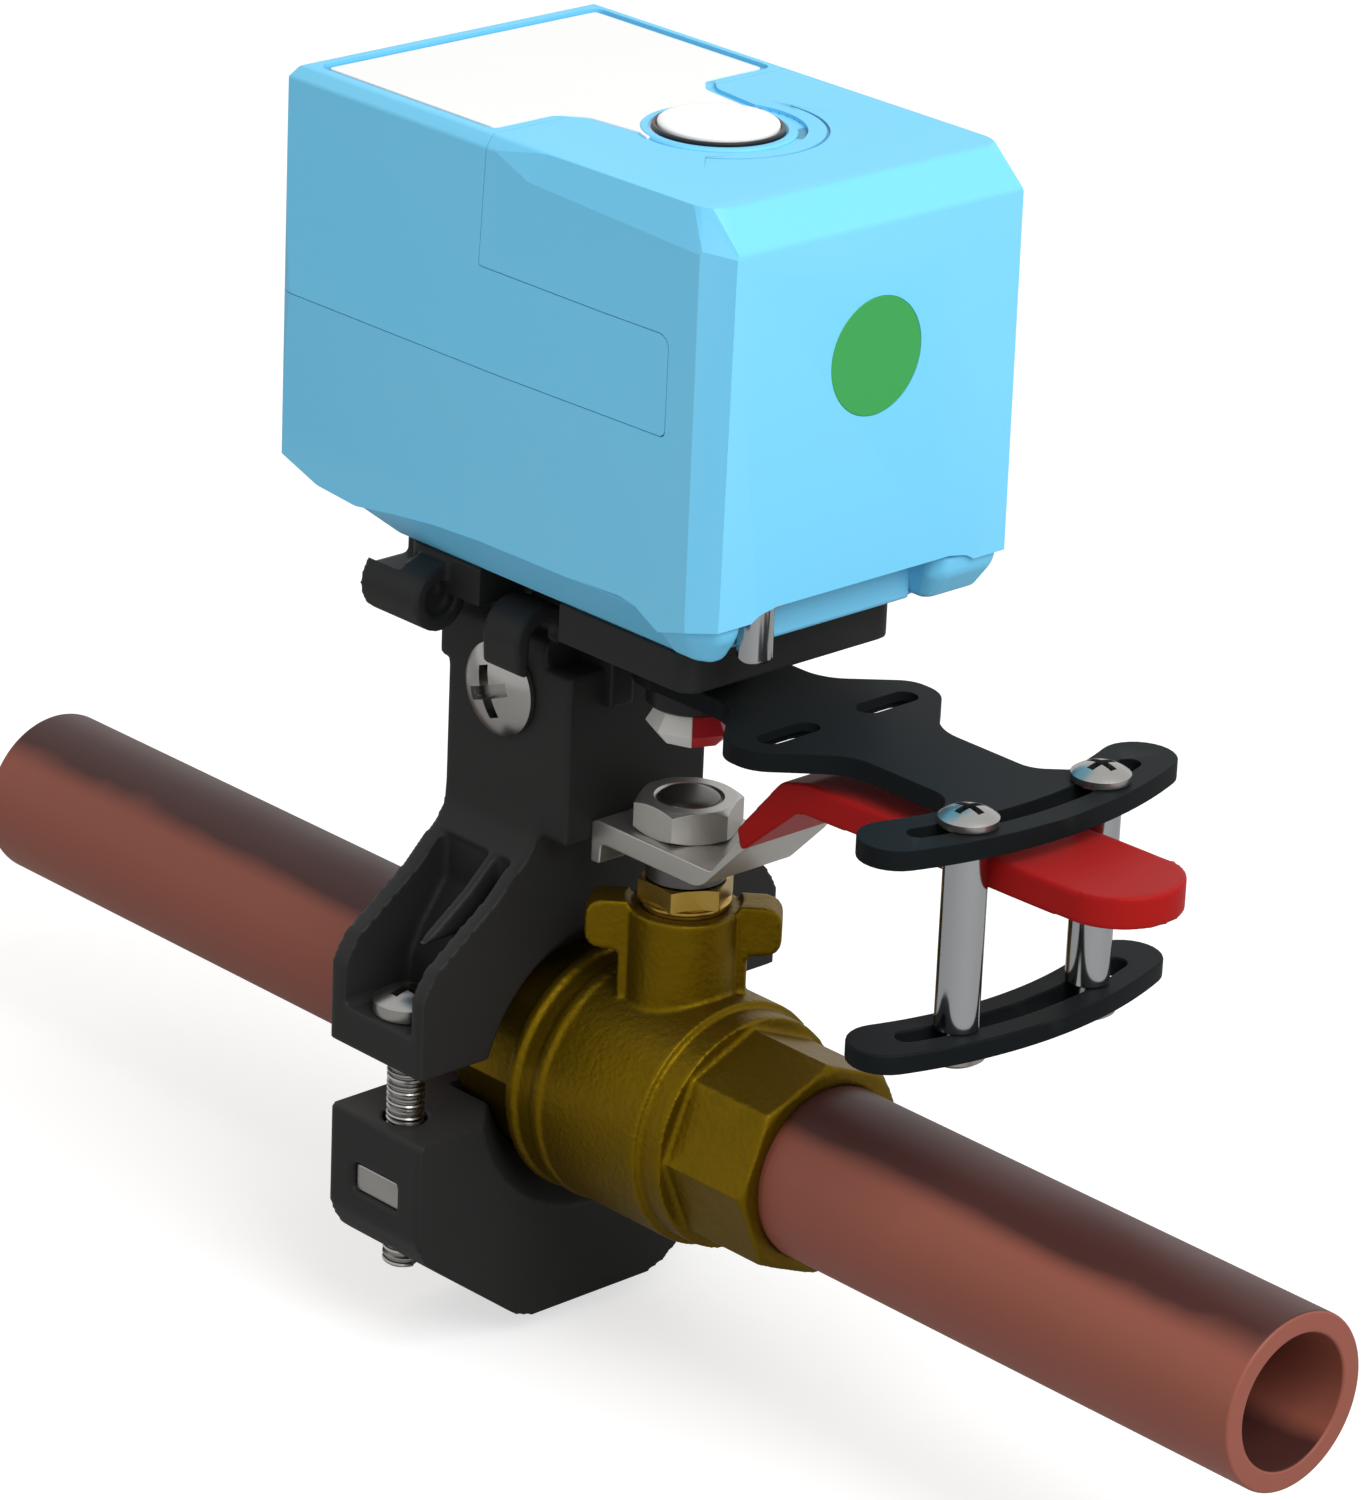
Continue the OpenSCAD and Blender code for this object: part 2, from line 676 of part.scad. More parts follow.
module front_housing() {
  color("#7fcdec") difference() {
    union() {
      difference() {
        house_form();
        house_cavity();
        cover_region();
      }
      both_sides() block([-20, cavity_half - 4, skirt_z - 1.5], [-12, cavity_half + 1.2, deck_low]);
      block([front_x - 7.5, -8.8, skirt_z - 1.5], [front_x - 1.7, 8.8, deck_low]);
      block([rear_x + 2, -9, cavity_z + 0.5], [rear_x + 7, 9, deck_low]);
      for (p = pillars) rod_z(p[0], p[1], floor_top - eps, pillar_top, 3.6);
      block([guide_x - 5, guide_y - 5, guide_low], [guide_x + 4.8, guide_y + 5, guide_high]);
    }
    for (p = pillars) rod_z(p[0], p[1], base_top - 1, pillar_top - 1, 1.4);
    rod_z(0, 0, base_top - 1, floor_top + 1, bush_r);
    rod_z(guide_x, guide_y, base_top - 1, guide_high, pin_r + 0.4);
    rod_z(guide_x, guide_y, guide_low, guide_high + 1, guide_r);
    rod_z(0, 0, top_z - wall - 1, top_z + 1, ring_r);
    translate([0, 0, top_z - panel_t]) linear_extrude(2) panel_outline();
    translate([front_x - panel_t, 0, badge_z]) rod_x(0, 2, badge_r);
    translate([0, inlet_y, inlet_z]) rod_x(rear_x - 1, rear_x + 6, inlet_r);
    both_sides() block([front_x - 11, 17.8, base_top - 1], [front_x + 6, 23.5, base_top + 4]);
  }
}

module rear_cover() {
  color("#7fcdec") difference() {
    intersection() {
      difference() {
        house_form();
        house_cavity();
      }
      cover_region();
    }
    translate([0, 0, top_z - panel_t]) linear_extrude(2) panel_outline();
  }
}

module top_panel() {
  color("#f4f6f7") difference() {
    translate([0, 0, top_z - panel_t]) linear_extrude(panel_t) panel_outline();
    rod_z(0, 0, top_z - 3, top_z + 1, ring_r);
  }
}

module front_badge() {
  color("#2f9e4a") translate([0, 0, badge_z]) rod_x(front_x - panel_t, front_x, badge_r);
}

module button_cap() {
  color("#f6f7f8") {
    rod_z(0, 0, top_z - wall - 0.1, button_top, button_r);
    rod_z(0, 0, top_z - wall - 1.7, top_z - wall - 0.1 + eps, ring_r + 0.8);
    rod_z(0, 0, top_z - wall - 3.7, top_z - wall - 1.7 + eps, 3);
  }
}

module button_ring() {
  color("#141516") difference() {
    rod_z(0, 0, top_z - wall, top_z + 0.4, ring_r);
    rod_z(0, 0, top_z - wall - 1, top_z + 1, button_r + 0.08);
  }
}

module circuit_board() {
  color("#1f6b3a") difference() {
    block([rear_x + 8, 2 - cavity_half, board_low], [front_x - 7.5, cavity_half - 2, board_top]);
    for (p = board_feet) rod_z(p[0], p[1], board_low - 1, board_top + 1, 1.5);
  }
}

module board_posts() {
  color("#c9b26a") for (p = board_feet) {
    translate([p[0], p[1], deck_top]) cylinder(r = 2.9, h = board_low - deck_top, $fn = 6);
    rod_z(p[0], p[1], board_low - eps, board_top + eps, 1.5);
    translate([p[0], p[1], board_top]) pan_head(2.8, 1.8);
  }
}

module tact_switch() {
  color("#3a3c3e") {
    block([-3, -3, board_top], [3, 3, board_top + 3.1]);
    rod_z(0, 0, board_top + 3.1 - eps, top_z - wall - 3.7 - button_travel - 0.1, 1.7);
  }
}

module radio_module() {
  color("#b8bcc0") {
    block([-46, -9, board_top], [-22, 9, board_top + 0.8]);
    block([-42, -7.5, board_top + 0.8], [-24, 7.5, board_top + 3.2]);
  }
}

module gearmotor() {
  color("#9fa4a8") difference() {
    union() {
      rod_z(pinion_x, pinion_y, deck_top, deck_top + 9, motor_r);
      intersection() {
        rod_z(pinion_x, pinion_y, deck_top + 9 - eps, deck_top + 27, motor_r - 0.3);
        block([pinion_x - 12, pinion_y - 7.6, deck_top], [pinion_x + 12, pinion_y + 7.6, deck_top + 30]);
      }
      rod_z(pinion_x, pinion_y, deck_top + 27 - eps, deck_top + 28.6, 3);
    }
    rod_z(pinion_x, pinion_y, deck_top - 1, deck_top + 3.2, motor_shaft_r + run_gap);
  }
}

module drive_pinion() {
  color("#c8a546") {
    translate([pinion_x, pinion_y, gear_b]) rotate([0, 0, mesh_a + 180 / pinion_teeth])
      linear_extrude(upper_w) gear_outline(pinion_teeth);
    rod_z(pinion_x, pinion_y, gear_b - 0.6, deck_top + 3, motor_shaft_r);
  }
}

module idler_gear() {
  color("#e4e0d2") translate([idler_x, 0, 0]) difference() {
    union() {
      translate([0, 0, gear_a]) rotate([0, 0, 180 / small_teeth])
        linear_extrude(gear_b - gear_a) gear_outline(small_teeth);
      translate([0, 0, gear_b]) rotate([0, 0, 180 + mesh_a]) linear_extrude(upper_w)
        gear_outline(large_teeth);
      rod_z(0, 0, gear_a - 0.6, deck_low - 0.3, 4.4);
    }
    rod_z(0, 0, gear_a - 2, deck_low, axle_r + run_gap);
    for (a = [0:60:300]) rotate([0, 0, a]) rod_z(11.6, 0, gear_b + 2, gear_b + 5, 3.2);
  }
}

module idler_axle() {
  color("#b4b7ba") {
    rod_z(idler_x, 0, floor_top, deck_top, axle_r);
    rod_z(idler_x, 0, floor_top + 2, gear_a - 0.8, 4);
  }
}

module output_gear() {
  color("#e4e0d2") difference() {
    union() {
      translate([0, 0, gear_a]) linear_extrude(gear_b - gear_a - 0.4) gear_outline(out_teeth);
      rod_z(0, 0, gear_a - 3, gear_b + 2, 9);
    }
    rod_z(0, 0, gear_a - 4, gear_b + 3, shaft_r);
    for (a = [0:60:300]) rotate([0, 0, a]) rod_z(15.2, 0, gear_a - 1, gear_b + 1, 3.6);
  }
}

module output_shaft() {
  color("#b4b7ba") {
    rod_z(0, 0, hub_low, deck_top + 1.5, shaft_r);
    rod_z(0, 0, pointer_low + 1.1, hub_low + eps, tip_r);
  }
}

module gear_plates() {
  color("#aeb3b6") difference() {
    union() {
      block([-38, -11, floor_top], [14, 11, floor_top + deck_t]);
      block([rear_x + 3.5, 0.6 - cavity_half, deck_low], [18, cavity_half - 0.6, deck_top]);
      block([17, -9, deck_low], [front_x - 3.1, 9, deck_top]);
    }
    rod_z(0, 0, floor_top - 1, deck_top + 1, bush_r);
    rod_z(idler_x, 0, floor_top - 1, deck_top + 1, axle_r);
    rod_z(pinion_x, pinion_y, deck_low - 1, deck_top + 1, motor_shaft_r + run_gap);
  }
}

module shaft_bushes() {
  color("#b5893c") difference() {
    union() {
      rod_z(0, 0, base_low, floor_top + 2, bush_r);
      rod_z(0, 0, floor_top + 2 - eps, gear_a - 3.4, 8.4);
      rod_z(0, 0, gear_b + 2.4, deck_top, bush_r);
    }
    rod_z(0, 0, base_low - 1, deck_top + 1, shaft_hole);
    rod_z(0, 0, gear_a - 3.4, gear_b + 2.4, 12);
  }
}

module housing_screws() {
  color("#b9b6ae") for (p = pillars) translate([p[0], p[1], 0]) {
    translate([0, 0, base_low + 2.4]) mirror([0, 0, 1]) pan_head(3, 2);
    rod_z(0, 0, base_low + 2.4 - eps, 87.4, 1.4);
  }
}

module power_inlet() {
  color("#1a1b1c") difference() {
    union() {
      block([rear_x + wall, inlet_y - 5, deck_top], [rear_x + 14, inlet_y + 5, inlet_z + 5]);
      translate([0, inlet_y, inlet_z]) rod_x(rear_x, rear_x + wall + eps, inlet_r);
    }
    difference() {
      translate([0, inlet_y, inlet_z]) rod_x(rear_x - 1, rear_x + 10, 2.9);
      translate([0, inlet_y, inlet_z]) rod_x(rear_x + 1.2, rear_x + 11, 0.95);
    }
  }
}

module release_pin() {
  color("#b4b7ba") {
    rod_z(guide_x, guide_y, pin_low + 0.8, pin_top, pin_r);
    translate([guide_x, guide_y, pin_low]) cylinder(r1 = pin_r - 0.7, r2 = pin_r, h = 0.8 + eps);
    rod_z(guide_x, guide_y, guide_high + pin_travel + 0.2, pin_top, pin_r + 1);
  }
}

module pin_guide() {
  color("#b5893c") difference() {
    rod_z(guide_x, guide_y, guide_low, guide_high, guide_r);
    rod_z(guide_x, guide_y, guide_low - 1, guide_high + 1, pin_r + run_gap);
  }
}

module arm_hub() {
  color("#1b1c1e") difference() {
    union() {
      rod_z(0, 0, hub_low, plate_low, hub_r + 1);
      rod_z(0, 0, plate_low - eps, plate_top + eps, hub_r + 0.6);
      rod_z(0, 0, plate_top, base_low - 0.4, hub_r + 1);
    }
    rod_z(0, 0, 60, base_low, shaft_r);
  }
}

// Curved bar about the stem axis with round ends and a slot along its middle.
module arc_bar() {
  difference() {
    union() {
      intersection() {
        difference() {
          circle(r = arc_r + bar_half);
          circle(r = arc_r - bar_half);
        }
        polygon([[0, 0], [90, -90 * tan(bar_sweep)], [90, 90 * tan(bar_sweep)]]);
      }
      for (s = [-1, 1]) rotate(s * bar_sweep) translate([arc_r, 0]) circle(r = bar_half - 0.06);
    }
    intersection() {
      difference() {
        circle(r = arc_r + slot_half);
        circle(r = arc_r - slot_half);
      }
      polygon([[0, 0], [90, -90 * tan(slot_sweep)], [90, 90 * tan(slot_sweep)]]);
    }
    for (s = [-1, 1]) rotate(s * slot_sweep) translate([arc_r, 0]) circle(r = slot_half - 0.04);
  }
}

module arm_plate() {
  color("#17191c") translate([0, 0, plate_low]) linear_extrude(plate_t) difference() {
    union() {
      circle(r = 9.2);
      polygon(rounded(with_mirror([[0, -9], [17.1, -9], [25.8, -lobe_y], [31.7, -lobe_y],
        [41.4, -neck_half], [arc_r - bar_half - 4.6, -neck_half], [arc_r - bar_half, -14]]),
        both_ends([0, 8, 5, 6, 9, 5, 0])));
      arc_bar();
    }
    circle(r = hub_r + 0.6);
    for (s = [-1, 1]) translate([lobe_slot_x, s * lobe_slot_y]) intersection() {
      square([3, 12], center = true);
      circle(r = 5.6);
    }
  }
}

module lower_bar() {
  color("#17191c") translate([0, 0, bar_low]) linear_extrude(plate_t) arc_bar();
}

module arm_posts() {
  color("#c9ced3") both_sides() difference() {
    rod_z(post_x, arm_post_y, bar_top, plate_low, arm_post_r);
    rod_z(post_x, arm_post_y, plate_low - 8, plate_low + 1, 1.6);
    rod_z(post_x, arm_post_y, bar_top - 1, bar_top + 8, 1.6);
  }
}

module arm_screws() {
  color("#cfcdc6") both_sides() translate([post_x, arm_post_y, 0]) {
    translate([0, 0, plate_top]) pan_head(4.3, 2.7);
    rod_z(0, 0, plate_low - 7, plate_top + eps, 1.6);
    translate([0, 0, bar_low]) mirror([0, 0, 1]) pan_head(4.3, 2.7);
    rod_z(0, 0, bar_low - eps, bar_top + 7, 1.6);
  }
}

// Half of the eight-sided pointer that shows the valve's state.
module pointer_half(a) {
  intersection() {
    difference() {
      union() {
        translate([0, 0, pointer_low]) cylinder(r1 = 4.6, r2 = 6.4, h = 2.4, $fn = 8);
        translate([0, 0, pointer_low + 2.4])
          cylinder(r1 = 6.4, r2 = 4.4, h = hub_low - pointer_low - 2.4, $fn = 8);
      }
      rod_z(0, 0, pointer_low + 1.1, hub_low + 1, tip_r);
    }
    rotate([0, 0, a]) block([-8, 0, pointer_low - 1], [8, 8, hub_low + 1]);
  }
}

module indicator_white() {
  color("#f2f2f0") pointer_half(136.3);
}

module indicator_red() {
  color("#c4262b") pointer_half(-43.7);
}

inlet_pipe();
outlet_pipe();
valve_body();
valve_end_cap();
ball();
seat_rings();
stem();
stem_packing();
gland_nut();
lever_plate();
lever_grip();
stem_nut();
upper_bracket();
lower_clamp();
clamp_bolts();
clamp_nuts();
bracket_screw();
bracket_nut();
actuator_base();
front_housing();
rear_cover();
top_panel();
front_badge();
button_cap();
button_ring();
circuit_board();
board_posts();
tact_switch();
radio_module();
gearmotor();
drive_pinion();
idler_gear();
idler_axle();
output_gear();
output_shaft();
gear_plates();
shaft_bushes();
housing_screws();
power_inlet();
release_pin();
pin_guide();
arm_hub();
arm_plate();
arm_posts();
arm_screws();
lower_bar();
indicator_white();
indicator_red();
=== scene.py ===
"""Dressed model of a motor-driven water valve clamped on its pipe.

Lengths in the classes are millimetres in the part's own frame: +X runs along the pipe to the
outlet, +Z up along the stem, and the origin is where the two axes cross. Meshes are metres.
"""

from __future__ import annotations

import logging
import math
from dataclasses import dataclass
from enum import Enum
from typing import Iterable, Sequence, Union

import bmesh
import bpy
from mathutils import Matrix, Vector

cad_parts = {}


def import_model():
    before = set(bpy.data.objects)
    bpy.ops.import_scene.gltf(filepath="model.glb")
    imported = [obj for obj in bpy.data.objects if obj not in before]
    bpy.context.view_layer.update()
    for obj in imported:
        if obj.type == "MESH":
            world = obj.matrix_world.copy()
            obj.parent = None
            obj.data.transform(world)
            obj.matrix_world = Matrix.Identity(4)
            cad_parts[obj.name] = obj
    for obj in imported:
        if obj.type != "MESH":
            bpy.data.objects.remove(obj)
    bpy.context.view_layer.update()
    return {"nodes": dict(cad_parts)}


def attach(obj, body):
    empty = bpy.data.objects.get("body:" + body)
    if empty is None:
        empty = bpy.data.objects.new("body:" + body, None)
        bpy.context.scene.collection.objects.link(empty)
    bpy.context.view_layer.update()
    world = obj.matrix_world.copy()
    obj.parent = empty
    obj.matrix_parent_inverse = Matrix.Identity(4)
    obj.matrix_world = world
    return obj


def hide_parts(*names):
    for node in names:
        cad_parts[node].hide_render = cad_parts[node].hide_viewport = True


LOG = logging.getLogger("water_valve")
MM = 0.001
WELD = 2e-6  # points closer than this are one, metres
UNIT_MIDDLE = (0.0, 0.0, 115.0)  # inside the motor unit, millimetres
ON_AXIS = 1e-6  # points of a turned profile nearer than this lie on the axis, millimetres
STRAIGHT = 0.02  # a corner flatter than this is not rounded, radians
MOST_OF_SIDE = 0.48  # share of a side that one rounding may take
SAME_PLANE = 0.012  # normals closer than this are one facet, radians
WEIGHTED_BELOW = 45  # pieces smoothed over less than this get weighted normals, degrees
Point = tuple[float, float]
Triple = tuple[float, float, float]
Plane = tuple[Vector, Vector]
Item = bpy.types.Object
Material = bpy.types.Material
Tree = bpy.types.NodeTree
Socket = bpy.types.NodeSocket
Source = Union[Socket, float, Triple]
Inputs = dict[Union[str, int], object]
Sockets = bpy.types.bpy_prop_collection


class Axis(Enum):
    """Direction along which an outline is extruded or turned."""

    X = "x"
    Y = "y"
    Z = "z"


class Body(Enum):
    """Rigid bodies that dressed pieces ride on, by their names in the frame."""

    ROOT = "root"
    VALVE = "valve"
    ARM = "arm"
    BUTTON = "button"
    RELEASE = "release"


class Texture(Enum):
    """How a finish breaks up its surface."""

    MOULDED = "moulded"
    CAST = "cast"
    BRUSHED = "brushed"
    SMOOTH = "smooth"


@dataclass(frozen=True)
class Finish:
    """Look of one surface finish.

    Args:
        slot: Slot of the record that it belongs to, also the material's name.
        color: Main colour, linear RGB.
        second: Colour of the slow mottling, linear RGB.
        roughness: Mean roughness.
        metallic: 1 for bare metal.
        texture: Kind of surface break-up.
        scale: Size of the grain, in cells per metre.
        depth: Depth of the grain, in metres.
        mottle: Share of the second colour.
        wear: Strength of the wear along edges.
        worn: Colour of a worn edge, linear RGB.
        dust_and_top_shade: Strength of what is laid on faces that look up: dust, and on the pipes a
            painted shade.
        dust_and_shade_color: Colour laid there, linear RGB: pale dust, and the dark painted shade
            of the pipes' tops.
        coat: Weight of a clear coat.
        shine: Specular level, 0.5 for plain plastic.
    """

    slot: str
    color: Triple
    second: Triple
    roughness: float = 0.45
    metallic: float = 0.0
    texture: Texture = Texture.MOULDED
    scale: float = 1400.0
    depth: float = 0.00002
    mottle: float = 0.35
    wear: float = 0.25
    worn: Triple = (0.5, 0.5, 0.5)
    dust_and_top_shade: float = 0.05
    dust_and_shade_color: Triple = (0.55, 0.54, 0.52)
    coat: float = 0.0
    shine: float = 0.5


HOUSING_BLUE = Finish("housing_blue", (0.176, 0.610, 0.920), (0.160, 0.575, 0.88), 0.42,
                      scale=2600.0, depth=0.000012, mottle=0.25, wear=0.18,
                      worn=(0.36, 0.76, 0.96), dust_and_top_shade=0.0, shine=0.15)
BRACKET_BLACK = Finish("bracket_black", (0.018, 0.0182, 0.0182), (0.025, 0.025, 0.0245), 0.46,
                       scale=1500.0, depth=0.00002, wear=0.3, worn=(0.045, 0.045, 0.045),
                       dust_and_top_shade=0.025, shine=0.14)
ARM_BLACK = Finish("arm_black", (0.0062, 0.0082, 0.0092), (0.010, 0.013, 0.0145), 0.42,
                   scale=2200.0, depth=0.00001, wear=0.35, worn=(0.06, 0.062, 0.065), dust_and_top_shade=0.01,
                   shine=0.03)
HUB_BLACK = Finish("hub_black", (0.010, 0.0105, 0.012), (0.016, 0.016, 0.018), 0.34, scale=1800.0,
                   depth=0.00001, wear=0.3, worn=(0.06, 0.06, 0.06), shine=0.2)
TRIM_BLACK = Finish("trim_black", (0.007, 0.0072, 0.008), (0.012, 0.012, 0.013), 0.3, scale=2400.0,
                    depth=0.000008, wear=0.15, worn=(0.05, 0.05, 0.05), shine=0.3)
# The strong dark layer on faces that look up is painted shade on the pipes' tops, not dust.
PIPE_BROWN = Finish("copper_brown", (0.272, 0.083, 0.056), (0.215, 0.062, 0.043), 0.42,
                    scale=700.0, depth=0.00001, mottle=0.5, wear=0.25, worn=(0.45, 0.18, 0.13),
                    dust_and_top_shade=3.0, dust_and_shade_color=(0.040, 0.014, 0.013), shine=0.22)
OLIVE_BRASS = Finish("olive_brass", (0.168, 0.104, 0.0022), (0.098, 0.058, 0.002), 0.44, 0.85,
                     Texture.CAST, 1100.0, 0.00012, 0.5, 0.4, (0.34, 0.24, 0.03), 0.02, shine=0.1)
BRIGHT_BRASS = Finish("bright_brass", (0.420, 0.270, 0.050), (0.30, 0.19, 0.035), 0.28, 1.0,
                      Texture.BRUSHED, 900.0, 0.00001, 0.35, 0.4, (0.66, 0.50, 0.18), 0.02)
STRIP_STEEL = Finish("steel_strip", (0.500, 0.488, 0.460), (0.36, 0.345, 0.315), 0.38, 0.9,
                     Texture.BRUSHED, 800.0, 0.000012, 0.4, 0.4, (0.55, 0.54, 0.51), 0.03,
                     shine=0.3)
ZINC = Finish("zinc_screws", (0.36, 0.352, 0.335), (0.27, 0.263, 0.25), 0.27, 1.0, Texture.BRUSHED,
              1200.0, 0.000006, 0.35, 0.3, (0.62, 0.61, 0.59), 0.02)
STEM_STEEL = Finish("stem_steel", (0.120, 0.118, 0.112), (0.070, 0.069, 0.066), 0.34, 0.9,
                    Texture.BRUSHED, 1000.0, 0.00001, 0.45, 0.35, (0.25, 0.245, 0.235), 0.02,
                    shine=0.3)
POST_CHROME = Finish("post_chrome", (0.415, 0.43, 0.44), (0.35, 0.365, 0.375), 0.13, 1.0,
                     Texture.SMOOTH, 900.0, 0.000002, 0.2, 0.15, (0.6, 0.61, 0.62), 0.02)
GRIP_RED = Finish("grip_red", (0.350, 0.011, 0.010), (0.27, 0.007, 0.007), 0.40, scale=900.0,
                  depth=0.00003, mottle=0.35, wear=0.2, worn=(0.55, 0.04, 0.04), dust_and_top_shade=0.02,
                  shine=0.04)
PANEL_WHITE = Finish("panel_white", (0.86, 0.88, 0.89), (0.80, 0.83, 0.85), 0.30, scale=3000.0,
                     depth=0.000004, mottle=0.2, wear=0.1, worn=(0.7, 0.7, 0.7), dust_and_top_shade=0.02)
BUTTON_WHITE = Finish("button_white", (0.88, 0.89, 0.90), (0.82, 0.84, 0.86), 0.25, scale=3000.0,
                      depth=0.000003, mottle=0.15, wear=0.08, worn=(0.75, 0.75, 0.75), dust_and_top_shade=0.02)
BADGE_GREEN = Finish("badge_green", (0.034, 0.335, 0.075), (0.028, 0.295, 0.064), 0.36,
                     scale=3000.0, depth=0.000004, mottle=0.2, wear=0.15, worn=(0.2, 0.5, 0.25),
                     dust_and_top_shade=0.02, shine=0.3)
POINTER_WHITE = Finish("pointer_white", (0.80, 0.80, 0.79), (0.72, 0.72, 0.70), 0.32, scale=2400.0,
                       depth=0.000006, mottle=0.25, wear=0.1, worn=(0.6, 0.6, 0.58))
POINTER_RED = Finish("pointer_red", (0.55, 0.020, 0.030), (0.45, 0.015, 0.022), 0.32, scale=2400.0,
                     depth=0.000006, mottle=0.25, wear=0.1, worn=(0.7, 0.15, 0.15))
BALL_CHROME = Finish("ball_chrome", (0.60, 0.61, 0.62), (0.5, 0.5, 0.52), 0.12, 1.0,
                     Texture.SMOOTH, 900.0, 0.000002, 0.2, 0.1, (0.8, 0.8, 0.8), 0.0)
SEAT_WHITE = Finish("seat_white", (0.78, 0.78, 0.75), (0.70, 0.70, 0.66), 0.4, depth=0.00001,
                    worn=(0.6, 0.6, 0.55))
BOARD_GREEN = Finish("board_green", (0.014, 0.145, 0.045), (0.010, 0.11, 0.035), 0.35,
                     depth=0.000006, worn=(0.3, 0.4, 0.2), coat=0.2)
MODULE_METAL = Finish("module_metal", (0.48, 0.50, 0.52), (0.4, 0.42, 0.44), 0.3, 1.0,
                      Texture.BRUSHED, 900.0, 0.000004, 0.3, 0.2, (0.7, 0.7, 0.7))
MOTOR_STEEL = Finish("motor_steel", (0.35, 0.37, 0.39), (0.26, 0.28, 0.3), 0.32, 1.0,
                     Texture.BRUSHED, 900.0, 0.000008, 0.35, 0.3, (0.6, 0.6, 0.6))
GEAR_CREAM = Finish("gear_cream", (0.76, 0.74, 0.64), (0.68, 0.66, 0.56), 0.42, depth=0.000008,
                    worn=(0.85, 0.84, 0.78))
BUSH_BRONZE = Finish("bush_bronze", (0.46, 0.26, 0.045), (0.34, 0.18, 0.035), 0.4, 1.0,
                     Texture.CAST, 2500.0, 0.00002, 0.4, 0.3, (0.7, 0.45, 0.15))


def fill(tree: Tree, made: bpy.types.Node, inputs: Inputs) -> None:
    """Fills inputs of a node.

    Args:
        tree: Tree of the node.
        made: The node.
        inputs: Socket to link or value to set, by the input's name or number.
    """
    for label, value in inputs.items():
        target = made.inputs[label]
        if isinstance(value, Socket):
            tree.links.new(value, target)
        elif target.type == "RGBA":
            target.default_value = (*value, 1.0)
        else:
            target.default_value = value


def node(tree: Tree, kind: str, inputs: Inputs | None = None, **settings: object) -> bpy.types.Node:
    """Adds a node.

    Args:
        tree: Tree to add it to.
        kind: Type of the node.
        inputs: Socket to link or value to set, by the input's name or number.
        settings: Properties of the node, set before its inputs.

    Returns:
        The node.
    """
    made = tree.nodes.new(kind)
    for label, value in settings.items():
        setattr(made, label, value)
    fill(tree, made, inputs or {})
    return made


def maths(tree: Tree, operation: str, first: Source, second: Source) -> Socket:
    """Gives the output of a Math node on two sockets or numbers."""
    return node(tree, "ShaderNodeMath", {0: first, 1: second}, operation=operation).outputs[0]


def mix(tree: Tree, factor: Source, first: Source, second: Source) -> Socket:
    """Gives the output of a Mix node on two colours."""
    return node(tree, "ShaderNodeMix", {0: factor, 6: first, 7: second},
                data_type="RGBA").outputs[2]


def noise(tree: Tree, vector: Source, scale: Source, detail: float = 3.0) -> Socket:
    """Gives the value of a Noise Texture node."""
    return node(tree, "ShaderNodeTexNoise",
                {"Detail": detail, "Vector": vector, "Scale": scale}).outputs["Fac"]


def group(name: str, family: str, inputs: dict[str, str], outputs: dict[str, str]
          ) -> tuple[Tree, Sockets, Sockets]:
    """Makes a node group with its input and output nodes.

    Args:
        name: Name of the group.
        family: Shader or Geometry.
        inputs: Kind of each input, by name.
        outputs: Kind of each output, by name.

    Returns:
        The group, what its inputs give and what its outputs take.
    """
    tree = bpy.data.node_groups.new(name, f"{family}NodeTree")
    for way, sockets in (("INPUT", inputs), ("OUTPUT", outputs)):
        for label, kind in sockets.items():
            tree.interface.new_socket(name=label, in_out=way, socket_type=f"NodeSocket{kind}")
    return tree, node(tree, "NodeGroupInput").outputs, node(tree, "NodeGroupOutput").inputs


